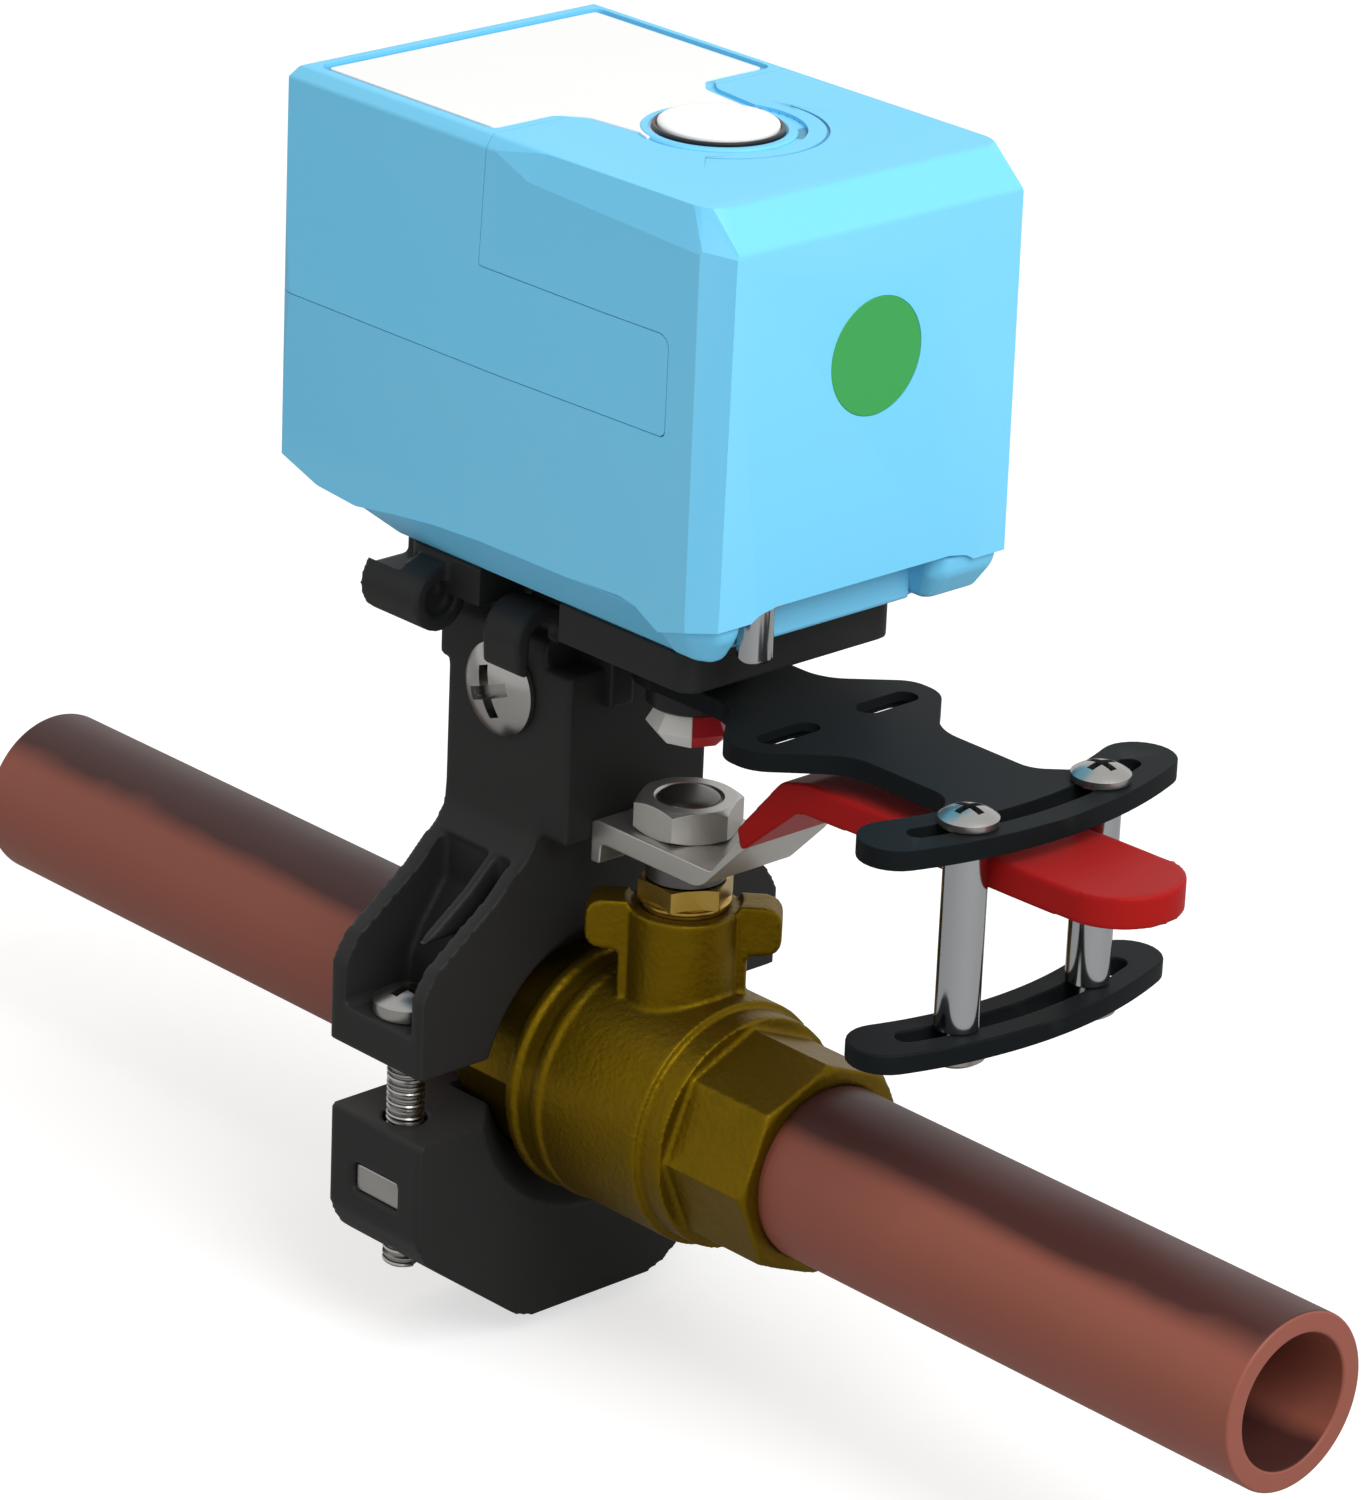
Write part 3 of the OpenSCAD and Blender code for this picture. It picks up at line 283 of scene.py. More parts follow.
class Workshop:
    """Builds shader groups and materials, and keeps one of each."""

    EDGE = {"From Min": 0.52, "From Max": 0.64}
    HOLLOW = {"From Min": 0.470, "From Max": 0.40, "To Max": 0.75}
    # Colour of the painted shade in hollows.
    HOLLOW_SHADE: Triple = (0.008, 0.008, 0.008)
    UPWARD = 0.62
    MOST_DUST_AND_SHADE = 0.92
    GLOSS_SPAN = (-0.05, 0.07)
    BUMP = 0.8
    COAT_ROUGHNESS = 0.2

    def __init__(self) -> None:
        """Makes the shared groups."""
        grain = self._skin_group("fine_grain", 38.0, 4.0)
        self.skins = {Texture.MOULDED: grain, Texture.SMOOTH: grain,
                      Texture.CAST: self._skin_group("cast_skin", 260.0, 5.0),
                      Texture.BRUSHED: self._skin_group("tool_streaks", 90.0, 3.0)}
        # Edge wear, and painted shade in hollows.
        self.wear = self._wear_and_hollow_shade_group()
        # Dust on faces that look up, and painted shade on the pipes' tops.
        self.dust_and_top_shade = self._dust_and_top_shade_group()
        self.made: dict[str, Material] = {}

    @staticmethod
    def _skin_group(name: str, broad: float, octaves: float) -> Tree:
        """Fine relief of a surface over a slow mottle.

        Args:
            name: fine_grain for a moulding, cast_skin for sand-cast lumps with pits, or
                tool_streaks for the parallel lines of a rolled or turned metal.
            broad: Scale of the mottle.
            octaves: Its detail.

        Returns:
            The group.
        """
        tree, given, taken = group(name, "Shader", {"Vector": "Vector", "Scale": "Float"},
                                   {"Height": "Float", "Mottle": "Float"})
        vector, scale = given["Vector"], given["Scale"]
        if name == "cast_skin":
            cells = node(tree, "ShaderNodeTexVoronoi", {"Vector": vector, "Scale": scale},
                         feature="SMOOTH_F1").outputs["Distance"]
            height = maths(tree, "ADD", maths(tree, "MULTIPLY", cells, 0.5),
                           noise(tree, vector, scale, 5.0))
        elif name == "tool_streaks":
            stretch = node(tree, "ShaderNodeMapping", {"Scale": (0.12, 1.0, 1.0), "Vector": vector})
            height = noise(tree, stretch.outputs["Vector"], scale, 2.0)
        else:
            height = noise(tree, vector, scale)
        tree.links.new(height, taken["Height"])
        tree.links.new(noise(tree, vector, broad, octaves), taken["Mottle"])
        return tree

    @staticmethod
    def _layer_group(name: str, over: str) -> tuple[Tree, Sockets, Sockets]:
        """Empty group that lays a second colour over the first and gives its mask."""
        return group(name, "Shader",
                     {"Color": "Color", over: "Color", "Amount": "Float", "Break": "Float"},
                     {"Color": "Color", "Mask": "Float"})

    def _wear_and_hollow_shade_group(self) -> Tree:
        """Brighter colour where an outer edge is rubbed, and painted shade in hollows.

        Returns:
            The group.
        """
        tree, given, taken = self._layer_group("edge_wear_and_hollow_shade", "Worn")
        bend = node(tree, "ShaderNodeNewGeometry").outputs["Pointiness"]
        edge, hollow = (node(tree, "ShaderNodeMapRange", {"Value": bend, **span}).outputs["Result"]
                        for span in (self.EDGE, self.HOLLOW))
        # Painted shade: hollows darkened towards a near-black colour.
        hollow_shaded = mix(tree, hollow, given["Color"], self.HOLLOW_SHADE)
        mask = maths(tree, "MULTIPLY", maths(tree, "MULTIPLY", edge, given["Break"]),
                     given["Amount"])
        tree.links.new(mix(tree, mask, hollow_shaded, given["Worn"]), taken["Color"])
        tree.links.new(mask, taken["Mask"])
        return tree

    def _dust_and_top_shade_group(self) -> Tree:
        """What is laid on faces that look up: dust, and on the pipes a painted shade.

        Returns:
            The group.
        """
        tree, given, taken = self._layer_group("settled_dust_and_top_shade", "Dust_and_shade")
        normal = node(tree, "ShaderNodeNewGeometry").outputs["Normal"]
        height = node(tree, "ShaderNodeSeparateXYZ", {0: normal}).outputs["Z"]
        up = node(tree, "ShaderNodeMapRange", {"Value": height, "From Min": self.UPWARD},
                  interpolation_type="SMOOTHSTEP").outputs["Result"]
        patchy = maths(tree, "MULTIPLY", up, given["Break"])
        mask = maths(tree, "MINIMUM", maths(tree, "MULTIPLY", patchy, given["Amount"]),
                     self.MOST_DUST_AND_SHADE)
        # On the pipes this dark layer is painted shade on their tops.
        tree.links.new(mix(tree, mask, given["Color"], given["Dust_and_shade"]), taken["Color"])
        tree.links.new(mask, taken["Mask"])
        return tree

    def material(self, finish: Finish) -> Material:
        """Gives the material of a finish, making it the first time.

        Args:
            finish: The finish.

        Returns:
            Its material.
        """
        if finish.slot in self.made:
            return self.made[finish.slot]
        material = bpy.data.materials.new(finish.slot)
        material.use_nodes = True
        tree = material.node_tree
        place = node(tree, "ShaderNodeTexCoord").outputs["Object"]
        skin = node(tree, "ShaderNodeGroup", {"Scale": finish.scale, "Vector": place},
                    node_tree=self.skins[finish.texture])
        mottle = skin.outputs["Mottle"]
        base = mix(tree, maths(tree, "MULTIPLY", mottle, finish.mottle), finish.color,
                   finish.second)
        # Edge wear, and painted shade in hollows.
        wear = node(tree, "ShaderNodeGroup", {"Color": base, "Worn": finish.worn, "Break": mottle,
                                              "Amount": finish.wear}, node_tree=self.wear)
        # Dust on faces that look up; on the pipes it is painted shade on their tops.
        dust_and_top_shade = node(tree, "ShaderNodeGroup",
                    {"Color": wear.outputs["Color"], "Dust_and_shade": finish.dust_and_shade_color, "Break": mottle,
                     "Amount": finish.dust_and_top_shade}, node_tree=self.dust_and_top_shade)
        low, high = self.GLOSS_SPAN
        gloss = node(tree, "ShaderNodeMapRange", {"Value": mottle, "To Min": finish.roughness + low,
                                                  "To Max": finish.roughness + high})
        bump = node(tree, "ShaderNodeBump", {"Distance": finish.depth, "Strength": self.BUMP,
                                             "Height": skin.outputs["Height"]})
        fill(tree, tree.nodes["Principled BSDF"],
             {"Base Color": dust_and_top_shade.outputs["Color"], "Roughness": gloss.outputs["Result"],
              "Normal": bump.outputs["Normal"], "Metallic": finish.metallic,
              "Specular IOR Level": finish.shine, "Coat Weight": finish.coat,
              "Coat Roughness": self.COAT_ROUGHNESS})
        self.made[finish.slot] = material
        return material


def arc(center: Point, radius: float, start: float, stop: float, steps: int = 8) -> list[Point]:
    """Points of a circular arc.

    Args:
        center: Centre of the arc.
        radius: Its radius.
        start: Angle of the first point, degrees.
        stop: Angle of the last point, degrees.
        steps: Number of spans.

    Returns:
        The points from start to stop.
    """
    turns = [math.radians(start + (stop - start) * i / steps) for i in range(steps + 1)]
    return [(center[0] + radius * math.cos(t), center[1] + radius * math.sin(t)) for t in turns]


def rounded(corners: Sequence[Point], radii: float | Sequence[float],
            steps: int = 5) -> list[Point]:
    """Rounds the corners of a closed outline.

    Args:
        corners: Corner points in order.
        radii: One radius, or one for each corner; 0 keeps a corner sharp.
        steps: Spans of each rounding.

    Returns:
        The rounded outline.
    """
    count = len(corners)
    sizes = [radii] * count if isinstance(radii, (int, float)) else list(radii)
    result: list[Point] = []
    for i, corner in enumerate(corners):
        here = Vector(corner)
        back = (Vector(corners[i - 1]) - here)
        ahead = (Vector(corners[(i + 1) % count]) - here)
        angle = back.angle(ahead)
        if sizes[i] <= 0 or abs(angle - math.pi) < STRAIGHT:
            result.append(corner)
            continue
        reach = min(sizes[i] / math.tan(angle / 2), back.length * MOST_OF_SIDE,
                    ahead.length * MOST_OF_SIDE)
        radius = reach * math.tan(angle / 2)
        inward = (back.normalized() + ahead.normalized()).normalized()
        middle = here + inward * (radius / math.sin(angle / 2))
        first = here + back.normalized() * reach - middle
        sweep = (here + ahead.normalized() * reach - middle).to_3d()
        side = 1 if first.to_3d().cross(sweep).z > 0 else -1
        span = math.pi - angle
        for k in range(steps + 1):
            turn = Matrix.Rotation(side * span * k / steps, 2)
            point = middle + turn @ first
            result.append((point.x, point.y))
    return result


def spread(point: Point, along: float, axis: Axis) -> Vector:
    """Puts a 2-D point of an outline in space.

    Args:
        point: Point of the outline: YZ for X, XZ for Y and XY for Z.
        along: Place along the axis.
        axis: Axis square to the outline.

    Returns:
        The point, in millimetres.
    """
    if axis is Axis.X:
        return Vector((along, point[0], point[1]))
    if axis is Axis.Y:
        return Vector((point[0], along, point[1]))
    return Vector((point[0], point[1], along))


def symmetric(half: Sequence[Point], bend: Sequence[float], steps: int = 5,
              flip: int = 0) -> list[Point]:
    """Rounds a closed outline that is given by one half of it.

    Args:
        half: Corners of one half, in order.
        bend: Radius at each of them.
        steps: Spans of each rounding.
        flip: Which coordinate changes sign in the other half, 0 or 1.

    Returns:
        The rounded outline.
    """
    other = [(-a, b) if flip == 0 else (a, -b) for a, b in reversed(half)]
    return rounded([*half, *other], [*bend, *reversed(bend)], steps)


def link(name: str, data: bpy.types.ID) -> Item:
    """Makes an object of some data and links it to the scene.

    Args:
        name: Name of the object.
        data: Its mesh, light or camera.

    Returns:
        The object.
    """
    item = bpy.data.objects.new(name, data)
    bpy.context.scene.collection.objects.link(item)
    return item


def mesh_object(name: str, bm: bmesh.types.BMesh) -> Item:
    """Turns a bmesh in millimetres into an object in metres.

    Args:
        name: Name of the object.
        bm: Its mesh, freed afterwards.

    Returns:
        The new object, linked to the scene.
    """
    bmesh.ops.recalc_face_normals(bm, faces=bm.faces)
    bmesh.ops.scale(bm, vec=(MM, MM, MM), verts=bm.verts)
    mesh = bpy.data.meshes.new(name)
    bm.to_mesh(mesh)
    bm.free()
    return link(name, mesh)


def prism(name: str, outline: Sequence[Point], axis: Axis, low: float, high: float) -> Item:
    """Extrudes a closed outline.

    Args:
        name: Name of the object.
        outline: Points of the outline.
        axis: Direction of the extrusion.
        low: Where it starts.
        high: Where it ends.

    Returns:
        A closed solid.
    """
    return between(name, [spread(p, low, axis) for p in outline],
                   [spread(p, high, axis) for p in outline])


def between(name: str, start: Sequence[Sequence[float]], end: Sequence[Sequence[float]]) -> Item:
    """Spans a solid between two polygons with the same number of corners.

    Args:
        name: Name of the object.
        start: Corners of the first polygon.
        end: Corners of the second polygon.

    Returns:
        A closed solid.
    """
    bm = bmesh.new()
    near = [bm.verts.new(p) for p in start]
    far = [bm.verts.new(p) for p in end]
    bm.faces.new(near)
    bm.faces.new(list(reversed(far)))
    for i in range(len(near)):
        j = (i + 1) % len(near)
        bm.faces.new((near[j], near[i], far[i], far[j]))
    return mesh_object(name, bm)


def lathe(name: str, profile: Sequence[Point], axis: Axis, center: Point = (0.0, 0.0),
          segments: int = 96) -> Item:
    """Turns a profile of (radius, place along the axis) about an axis.

    Args:
        name: Name of the object.
        profile: Closed profile, or one whose ends lie on the axis.
        axis: Axis of the turning.
        center: Where the axis crosses the plane square to it.
        segments: Number of spans around.

    Returns:
        A closed solid of revolution.
    """
    bm = bmesh.new()
    rings: list[list[bmesh.types.BMVert]] = []
    for radius, along in profile:
        if radius < ON_AXIS:
            rings.append([bm.verts.new(spread(center, along, axis))])
            continue
        ring = []
        for k in range(segments):
            turn = 2 * math.pi * k / segments
            place = (center[0] + radius * math.cos(turn), center[1] + radius * math.sin(turn))
            ring.append(bm.verts.new(spread(place, along, axis)))
        rings.append(ring)
    closed = len(rings[0]) > 1
    pairs = list(zip(rings, rings[1:])) + ([(rings[-1], rings[0])] if closed else [])
    for one, two in pairs:
        for k in range(segments):
            m = (k + 1) % segments
            if len(one) == 1 and len(two) == 1:
                break
            if len(one) == 1:
                bm.faces.new((one[0], two[m], two[k]))
            elif len(two) == 1:
                bm.faces.new((one[k], one[m], two[0]))
            else:
                bm.faces.new((one[k], one[m], two[m], two[k]))
    return mesh_object(name, bm)


def rod(name: str, radius: float, axis: Axis, low: float, high: float,
        center: Point = (0.0, 0.0), segments: int = 64) -> Item:
    """A plain round bar.

    Args:
        name: Name of the object.
        radius: Radius of the bar.
        axis: Its direction.
        low: Its start.
        high: Its end.
        center: Where its axis crosses the plane square to it.
        segments: Number of spans around.

    Returns:
        A closed solid.
    """
    profile = [(0.0, low), (radius, low), (radius, high), (0.0, high)]
    return lathe(name, profile, axis, center, segments)


def hexagon(name: str, radius: float, axis: Axis, profile: Sequence[Point],
            bore: Item, center: Point = (0.0, 0.0), segments: int = 96
            ) -> Item:
    """A hexagon nut, turned to a profile and bored.

    Args:
        name: Name of the object.
        radius: Corner radius.
        axis: Direction of the bore.
        profile: Points of (radius, place along the axis) from end to end, both on the axis.
        bore: Cutter of the bore, removed afterwards.
        center: Where the axis crosses the plane square to it.
        segments: Number of spans around the turned form.

    Returns:
        A closed solid.
    """
    item = prism(name, arc(center, radius, 0, 300, 5), axis, profile[0][1], profile[-1][1])
    combine(item, [lathe("shape", profile, axis, center, segments)], "INTERSECT")
    return cut(item, bore)


def box(name: str, low: Sequence[float], high: Sequence[float]) -> Item:
    """A plain box between two corners, used as a cutter or a web.

    Args:
        name: Name of the object.
        low: Lowest corner.
        high: Highest corner.

    Returns:
        A closed solid.
    """
    outline = [(low[0], low[1]), (high[0], low[1]), (high[0], high[1]), (low[0], high[1])]
    return prism(name, outline, Axis.Z, low[2], high[2])


def plain(item: Item) -> None:
    """Applies every modifier of an object to its mesh.

    Args:
        item: The object.
    """
    graph = bpy.context.evaluated_depsgraph_get()
    result = bpy.data.meshes.new_from_object(item.evaluated_get(graph))
    old = item.data
    item.modifiers.clear()
    item.data = result
    bpy.data.meshes.remove(old)


def discard(item: Item) -> None:
    """Removes an object and its mesh.

    Args:
        item: The object.
    """
    mesh = item.data
    bpy.data.objects.remove(item)
    bpy.data.meshes.remove(mesh)


def combine(base: Item, tools: Iterable[Item], operation: str) -> Item:
    """Joins, cuts or intersects solids.

    Args:
        base: Solid that is changed.
        tools: Solids used on it, removed afterwards.
        operation: UNION, DIFFERENCE or INTERSECT.

    Returns:
        The changed base.
    """
    used = list(tools)
    for tool in used:
        step = base.modifiers.new("step", "BOOLEAN")
        step.operation = operation
        step.solver = "EXACT"
        step.object = tool
    plain(base)
    for tool in used:
        discard(tool)
    return base


def fuse(base: Item, *tools: Item) -> Item:
    """Joins solids into the base."""
    return combine(base, tools, "UNION")


def cut(base: Item, *tools: Item) -> Item:
    """Cuts solids out of the base."""
    return combine(base, tools, "DIFFERENCE")


def clean(item: Item, flat: float = 1.0) -> Item:
    """Merges doubled points and dissolves edges inside flat faces.

    Args:
        item: The object.
        flat: Largest angle across a dissolved edge, degrees.

    Returns:
        The same object.
    """
    bm = bmesh.new()
    bm.from_mesh(item.data)
    bmesh.ops.remove_doubles(bm, verts=bm.verts, dist=WELD)
    bmesh.ops.dissolve_limit(bm, angle_limit=math.radians(flat), verts=bm.verts, edges=bm.edges)
    bmesh.ops.remove_doubles(bm, verts=bm.verts, dist=WELD)
    bm.to_mesh(item.data)
    bm.free()
    return item


def soften(item: Item, width: float, segments: int = 3, angle: float = 30.0) -> None:
    """Rounds the sharp edges of an object.

    Args:
        item: The object.
        width: Width of the rounding, millimetres.
        segments: Spans across it.
        angle: Edges sharper than this are rounded, degrees.
    """
    clean(item)
    step = item.modifiers.new("rounding", "BEVEL")
    step.width = width * MM
    step.segments = segments
    step.limit_method = "ANGLE"
    step.angle_limit = math.radians(angle)
    step.use_clamp_overlap = True
    step.miter_outer = "MITER_ARC"
    step.harden_normals = False
    plain(item)


def smooth(item: Item, angle: float, crisp: Sequence[Sequence[float]]) -> None:
    """Shades smooth across edges flatter than an angle and keeps large faces flat.

    Args:
        item: The object.
        angle: Angle in degrees.
        crisp: Normals of facets that keep sharp edges all round.
    """
    mesh = item.data
    mesh.shade_smooth()
    mesh.set_sharp_from_angle(angle=math.radians(angle))
    edges = {tuple(sorted(edge.vertices)): edge for edge in mesh.edges} if crisp else {}
    for normal in (Vector(n) for n in crisp):
        for face in (f for f in mesh.polygons if f.normal.angle(normal, 1.0) < SAME_PLANE):
            for key in face.edge_keys:
                edges[tuple(sorted(key))].use_edge_sharp = True
    if angle < WEIGHTED_BELOW:
        even = item.modifiers.new("even", "WEIGHTED_NORMAL")
        even.keep_sharp = True
        plain(item)


@dataclass
class Fitter:
    """Hands finished pieces to the frame and dresses them.

    Args:
        workshop: Where materials come from.
        cad: Objects of the frame, by node.
    """

    workshop: Workshop
    cad: dict[str, Item]

    def fit(self, item: Item, finish: Finish, body: Body, *nodes: str,
            angle: float = 32.0, crisp: Sequence[Sequence[float]] = ()) -> None:
        """Dresses a piece, rides it on its body and lets it stand for nodes.

        Args:
            item: The piece.
            finish: Its finish.
            body: Body that it moves with.
            nodes: Nodes of the frame that it stands for.
            angle: Smooth-shading angle, degrees.
            crisp: Normals of facets that keep sharp edges.
        """
        item.data.materials.clear()
        item.data.materials.append(self.workshop.material(finish))
        smooth(item, angle, crisp)
        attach(item, body.value)
        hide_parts(*nodes)
        LOG.info("piece %s on %s: %d faces", item.name, body.value, len(item.data.polygons))

    def dress(self, source: str, finish: Finish) -> None:
        """Gives a node of the frame its material and leaves its shape.

        Args:
            source: Name of the node.
            finish: Its finish.
        """
        item = self.cad[source]
        material = self.workshop.material(finish)
        for place in item.material_slots:
            place.material = material
        if not item.material_slots:
            item.data.materials.append(material)
        LOG.info("node %s dressed in %s", source, finish.slot)


@dataclass
class Studio:
    """Camera, light, floor and background.

    Args:
        eye: Camera position, millimetres.
        azimuth: Direction the camera looks in, degrees from +Y.
        elevation: How far it looks down, degrees.
        roll: Turn about its own axis, degrees.
        focal_px: Focal length in pixels of the photograph.
        frame_px: Height of the photograph in pixels.
        floor_z: Height of the floor, millimetres.
        reach: Half width of the floor, millimetres.
        floor_color: Colour of the floor.
        floor_glow: What the camera sees on top of it, so that the floor fades to white.
        sky_color: Colour of the even world light.
        sky: Its strength.
        lamp_place: Position of the soft lamp, metres.
        lamp_aim: The point it faces, metres.
        lamp_size: Its side, metres.
        lamp_power: Its power, watts.
    """

    eye: Triple = (653.15, -625.94, 420.07)
    azimuth: float = 46.3
    elevation: float = 21.94
    roll: float = 2.477
    focal_px: float = 6710.0
    frame_px: float = 1500.0
    floor_z: float = -42.0
    reach: float = 2500.0
    floor_color: Triple = (0.52, 0.52, 0.53)
    floor_glow: float = 0.62
    sky_color: Triple = (1.0, 0.965, 0.91)
    sky: float = 0.62
    lamp_place: Triple = (0.93, -0.14, 1.02)
    lamp_aim: Triple = (0.0, 0.0, 0.05)
    lamp_size: float = 0.9
    lamp_power: float = 15.6

    def camera(self) -> None:
        """Puts the camera where the photograph was taken from."""
        a, e, r = (math.radians(v) for v in (self.azimuth, self.elevation, self.roll))
        look = Vector((-math.sin(a) * math.cos(e), math.cos(a) * math.cos(e), -math.sin(e)))
        right = Vector((math.cos(a), math.sin(a), 0.0))
        up = right.cross(look)
        side = right * math.cos(r) + up * math.sin(r)
        top = up * math.cos(r) - right * math.sin(r)
        data = bpy.data.cameras.new("view")
        data.sensor_width = 36.0
        data.lens = self.focal_px / self.frame_px * data.sensor_width
        data.clip_start = 0.01
        camera = link("view", data)
        turn = Matrix((side, top, -look)).transposed().to_4x4()
        camera.matrix_world = Matrix.Translation(Vector(self.eye) * MM) @ turn
        bpy.context.scene.camera = camera

    def lamp(self) -> None:
        """Adds the square soft lamp."""
        data = bpy.data.lights.new("key", "AREA")
        data.size = self.lamp_size
        data.energy = self.lamp_power
        item = link("key", data)
        item.location = self.lamp_place
        aim = Vector(self.lamp_aim) - Vector(self.lamp_place)
        item.rotation_euler = aim.to_track_quat("-Z", "Y").to_euler()

    def surroundings(self) -> None:
        """Makes the even world light, which the camera sees as white."""
        world = bpy.data.worlds.new("room")
        bpy.context.scene.world = world
        world.use_nodes = True
        tree = world.node_tree
        tree.nodes.clear()
        path = node(tree, "ShaderNodeLightPath").outputs
        seen = path["Is Camera Ray"]
        for kind in ("Is Glossy Ray", "Is Transmission Ray"):
            seen = maths(tree, "MAXIMUM", seen, path[kind])
        soft = node(tree, "ShaderNodeBackground", {"Color": self.sky_color, "Strength": self.sky})
        white = node(tree, "ShaderNodeBackground", {"Color": (1.0, 1.0, 1.0)})
        both = node(tree, "ShaderNodeMixShader", {0: seen, 1: soft.outputs[0], 2: white.outputs[0]})
        node(tree, "ShaderNodeOutputWorld", {0: both.outputs[0]})

    def floor(self) -> None:
        """Lays a pale floor that fades to white for the camera and keeps the shadow."""
        item = box("floor", (-self.reach, -self.reach, self.floor_z - 2.0),
                   (self.reach, self.reach, self.floor_z))
        material = bpy.data.materials.new("pale_floor")
        material.use_nodes = True
        tree = material.node_tree
        seen = node(tree, "ShaderNodeLightPath").outputs["Is Camera Ray"]
        fill(tree, tree.nodes["Principled BSDF"],
             {"Base Color": self.floor_color, "Roughness": 0.8, "Specular IOR Level": 0.1,
              "Emission Color": (1.0, 1.0, 1.0),
              "Emission Strength": maths(tree, "MULTIPLY", seen, self.floor_glow)})
        item.data.materials.append(material)

    def build(self) -> None:
        """Builds the whole studio."""
        self.camera()
        self.surroundings()
        self.floor()
        self.lamp()
        bpy.context.scene.view_settings.view_transform = "Standard"
        LOG.info("studio ready")


def join(name: str, pieces: Sequence[Item]) -> Item:
    """Puts several meshes into one object.

    Args:
        name: Name of the result.
        pieces: Objects that are used up.

    Returns:
        The joined object.
    """
    bm = bmesh.new()
    for piece in pieces:
        bm.from_mesh(piece.data)
        discard(piece)
    mesh = bpy.data.meshes.new(name)
    bm.to_mesh(mesh)
    bm.free()
    return link(name, mesh)


def melt(item: Item, voxel: float, rounds: int) -> None:
    """Gives a solid the softened corners and fillets of a casting or a moulding.

    Args:
        item: A closed solid.
        voxel: Size of the new facets, millimetres.
        rounds: How often the surface is smoothed.
    """
    clean(item, 0.3)
    shape = item.modifiers.new("skin", "REMESH")
    shape.mode = "VOXEL"
    shape.voxel_size = voxel * MM
    calm = item.modifiers.new("calm", "SMOOTH")
    calm.factor = 0.5
    calm.iterations = rounds
    plain(item)


def mirrored(item: Item) -> Item:
    """Moves a solid to the other side of the XZ plane.

    Args:
        item: The object.

    Returns:
        The same object, with its faces outwards.
    """
    bm = bmesh.new()
    bm.from_mesh(item.data)
    bmesh.ops.scale(bm, vec=(1, -1, 1), verts=bm.verts)
    bmesh.ops.reverse_faces(bm, faces=bm.faces)
    bm.to_mesh(item.data)
    bm.free()
    return item


def facet(*corners: Sequence[float]) -> Plane:
    """Plane through three corners that faces away from the middle of the motor unit.

    Args:
        corners: The three corners, millimetres.

    Returns:
        A point of the plane and its unit normal.
    """
    a, b, c = (Vector(corner) for corner in corners)
    normal = (b - a).cross(c - a).normalized()
    return a, normal if normal.dot(a - Vector(UNIT_MIDDLE)) > 0 else -normal


def outside(low: Sequence[float], high: Sequence[float], *planes: Plane) -> Item:
    """The part of a box that lies on the outer side of planes.

    Args:
        low: Lower corner of the box.
        high: Upper corner of the box.
        planes: A point and an outward normal of each plane.

    Returns:
        A closed solid.
    """
    item = box("outside", low, high)
    bm = bmesh.new()
    bm.from_mesh(item.data)
    for point, normal in planes:
        bmesh.ops.bisect_plane(bm, geom=bm.verts[:] + bm.edges[:] + bm.faces[:], dist=1e-8,
                               plane_co=point * MM, plane_no=normal, clear_inner=True)
        bmesh.ops.holes_fill(bm, edges=[edge for edge in bm.edges if edge.is_boundary])
    bmesh.ops.recalc_face_normals(bm, faces=bm.faces)
    bm.to_mesh(item.data)
    bm.free()
    return item


def pan_screw(name: str, radius: float, height: float, shank: float, length: float) -> Item:
    """A cross-headed screw that stands head up with the underside of its head at z = 0.

    Args:
        name: Name of the object.
        radius: Radius of the head.
        height: Height of the head.
        shank: Radius of the shank.
        length: Length of the shank below the head.

    Returns:
        A closed solid.
    """
    ball = 1.6 * radius
    steps = 14
    lip = height - ball + math.sqrt(ball * ball - radius * radius)
    profile = [(0.0, -length), (shank - 0.3, -length), (shank, -length + 0.3), (shank, -0.15),
               (shank + 0.15, 0.0), (radius - 0.25, 0.0), (radius, 0.25),
               (radius, max(lip - 0.2, 0.3))]
    for k in range(steps):
        r = radius * math.cos(k / steps * math.pi / 2) ** 0.7
        profile.append((r, height - ball + math.sqrt(max(ball * ball - r * r, 0.0))))
    head = lathe(name, profile + [(0.0, height)], Axis.Z, segments=64)
    arm, half, deep, draft = radius * 0.60, radius * 0.15, height * 0.72, 0.85
    tools = []
    for wide, slim in ((arm, half), (half, arm)):
        around = ((-1, -1), (1, -1), (1, 1), (-1, 1))
        low = [(x * wide * draft, y * slim * draft, height - deep) for x, y in around]
        high = [(x * wide, y * slim, height + 1) for x, y in around]
        tools.append(between("slot", low, high))
    return cut(head, *tools)


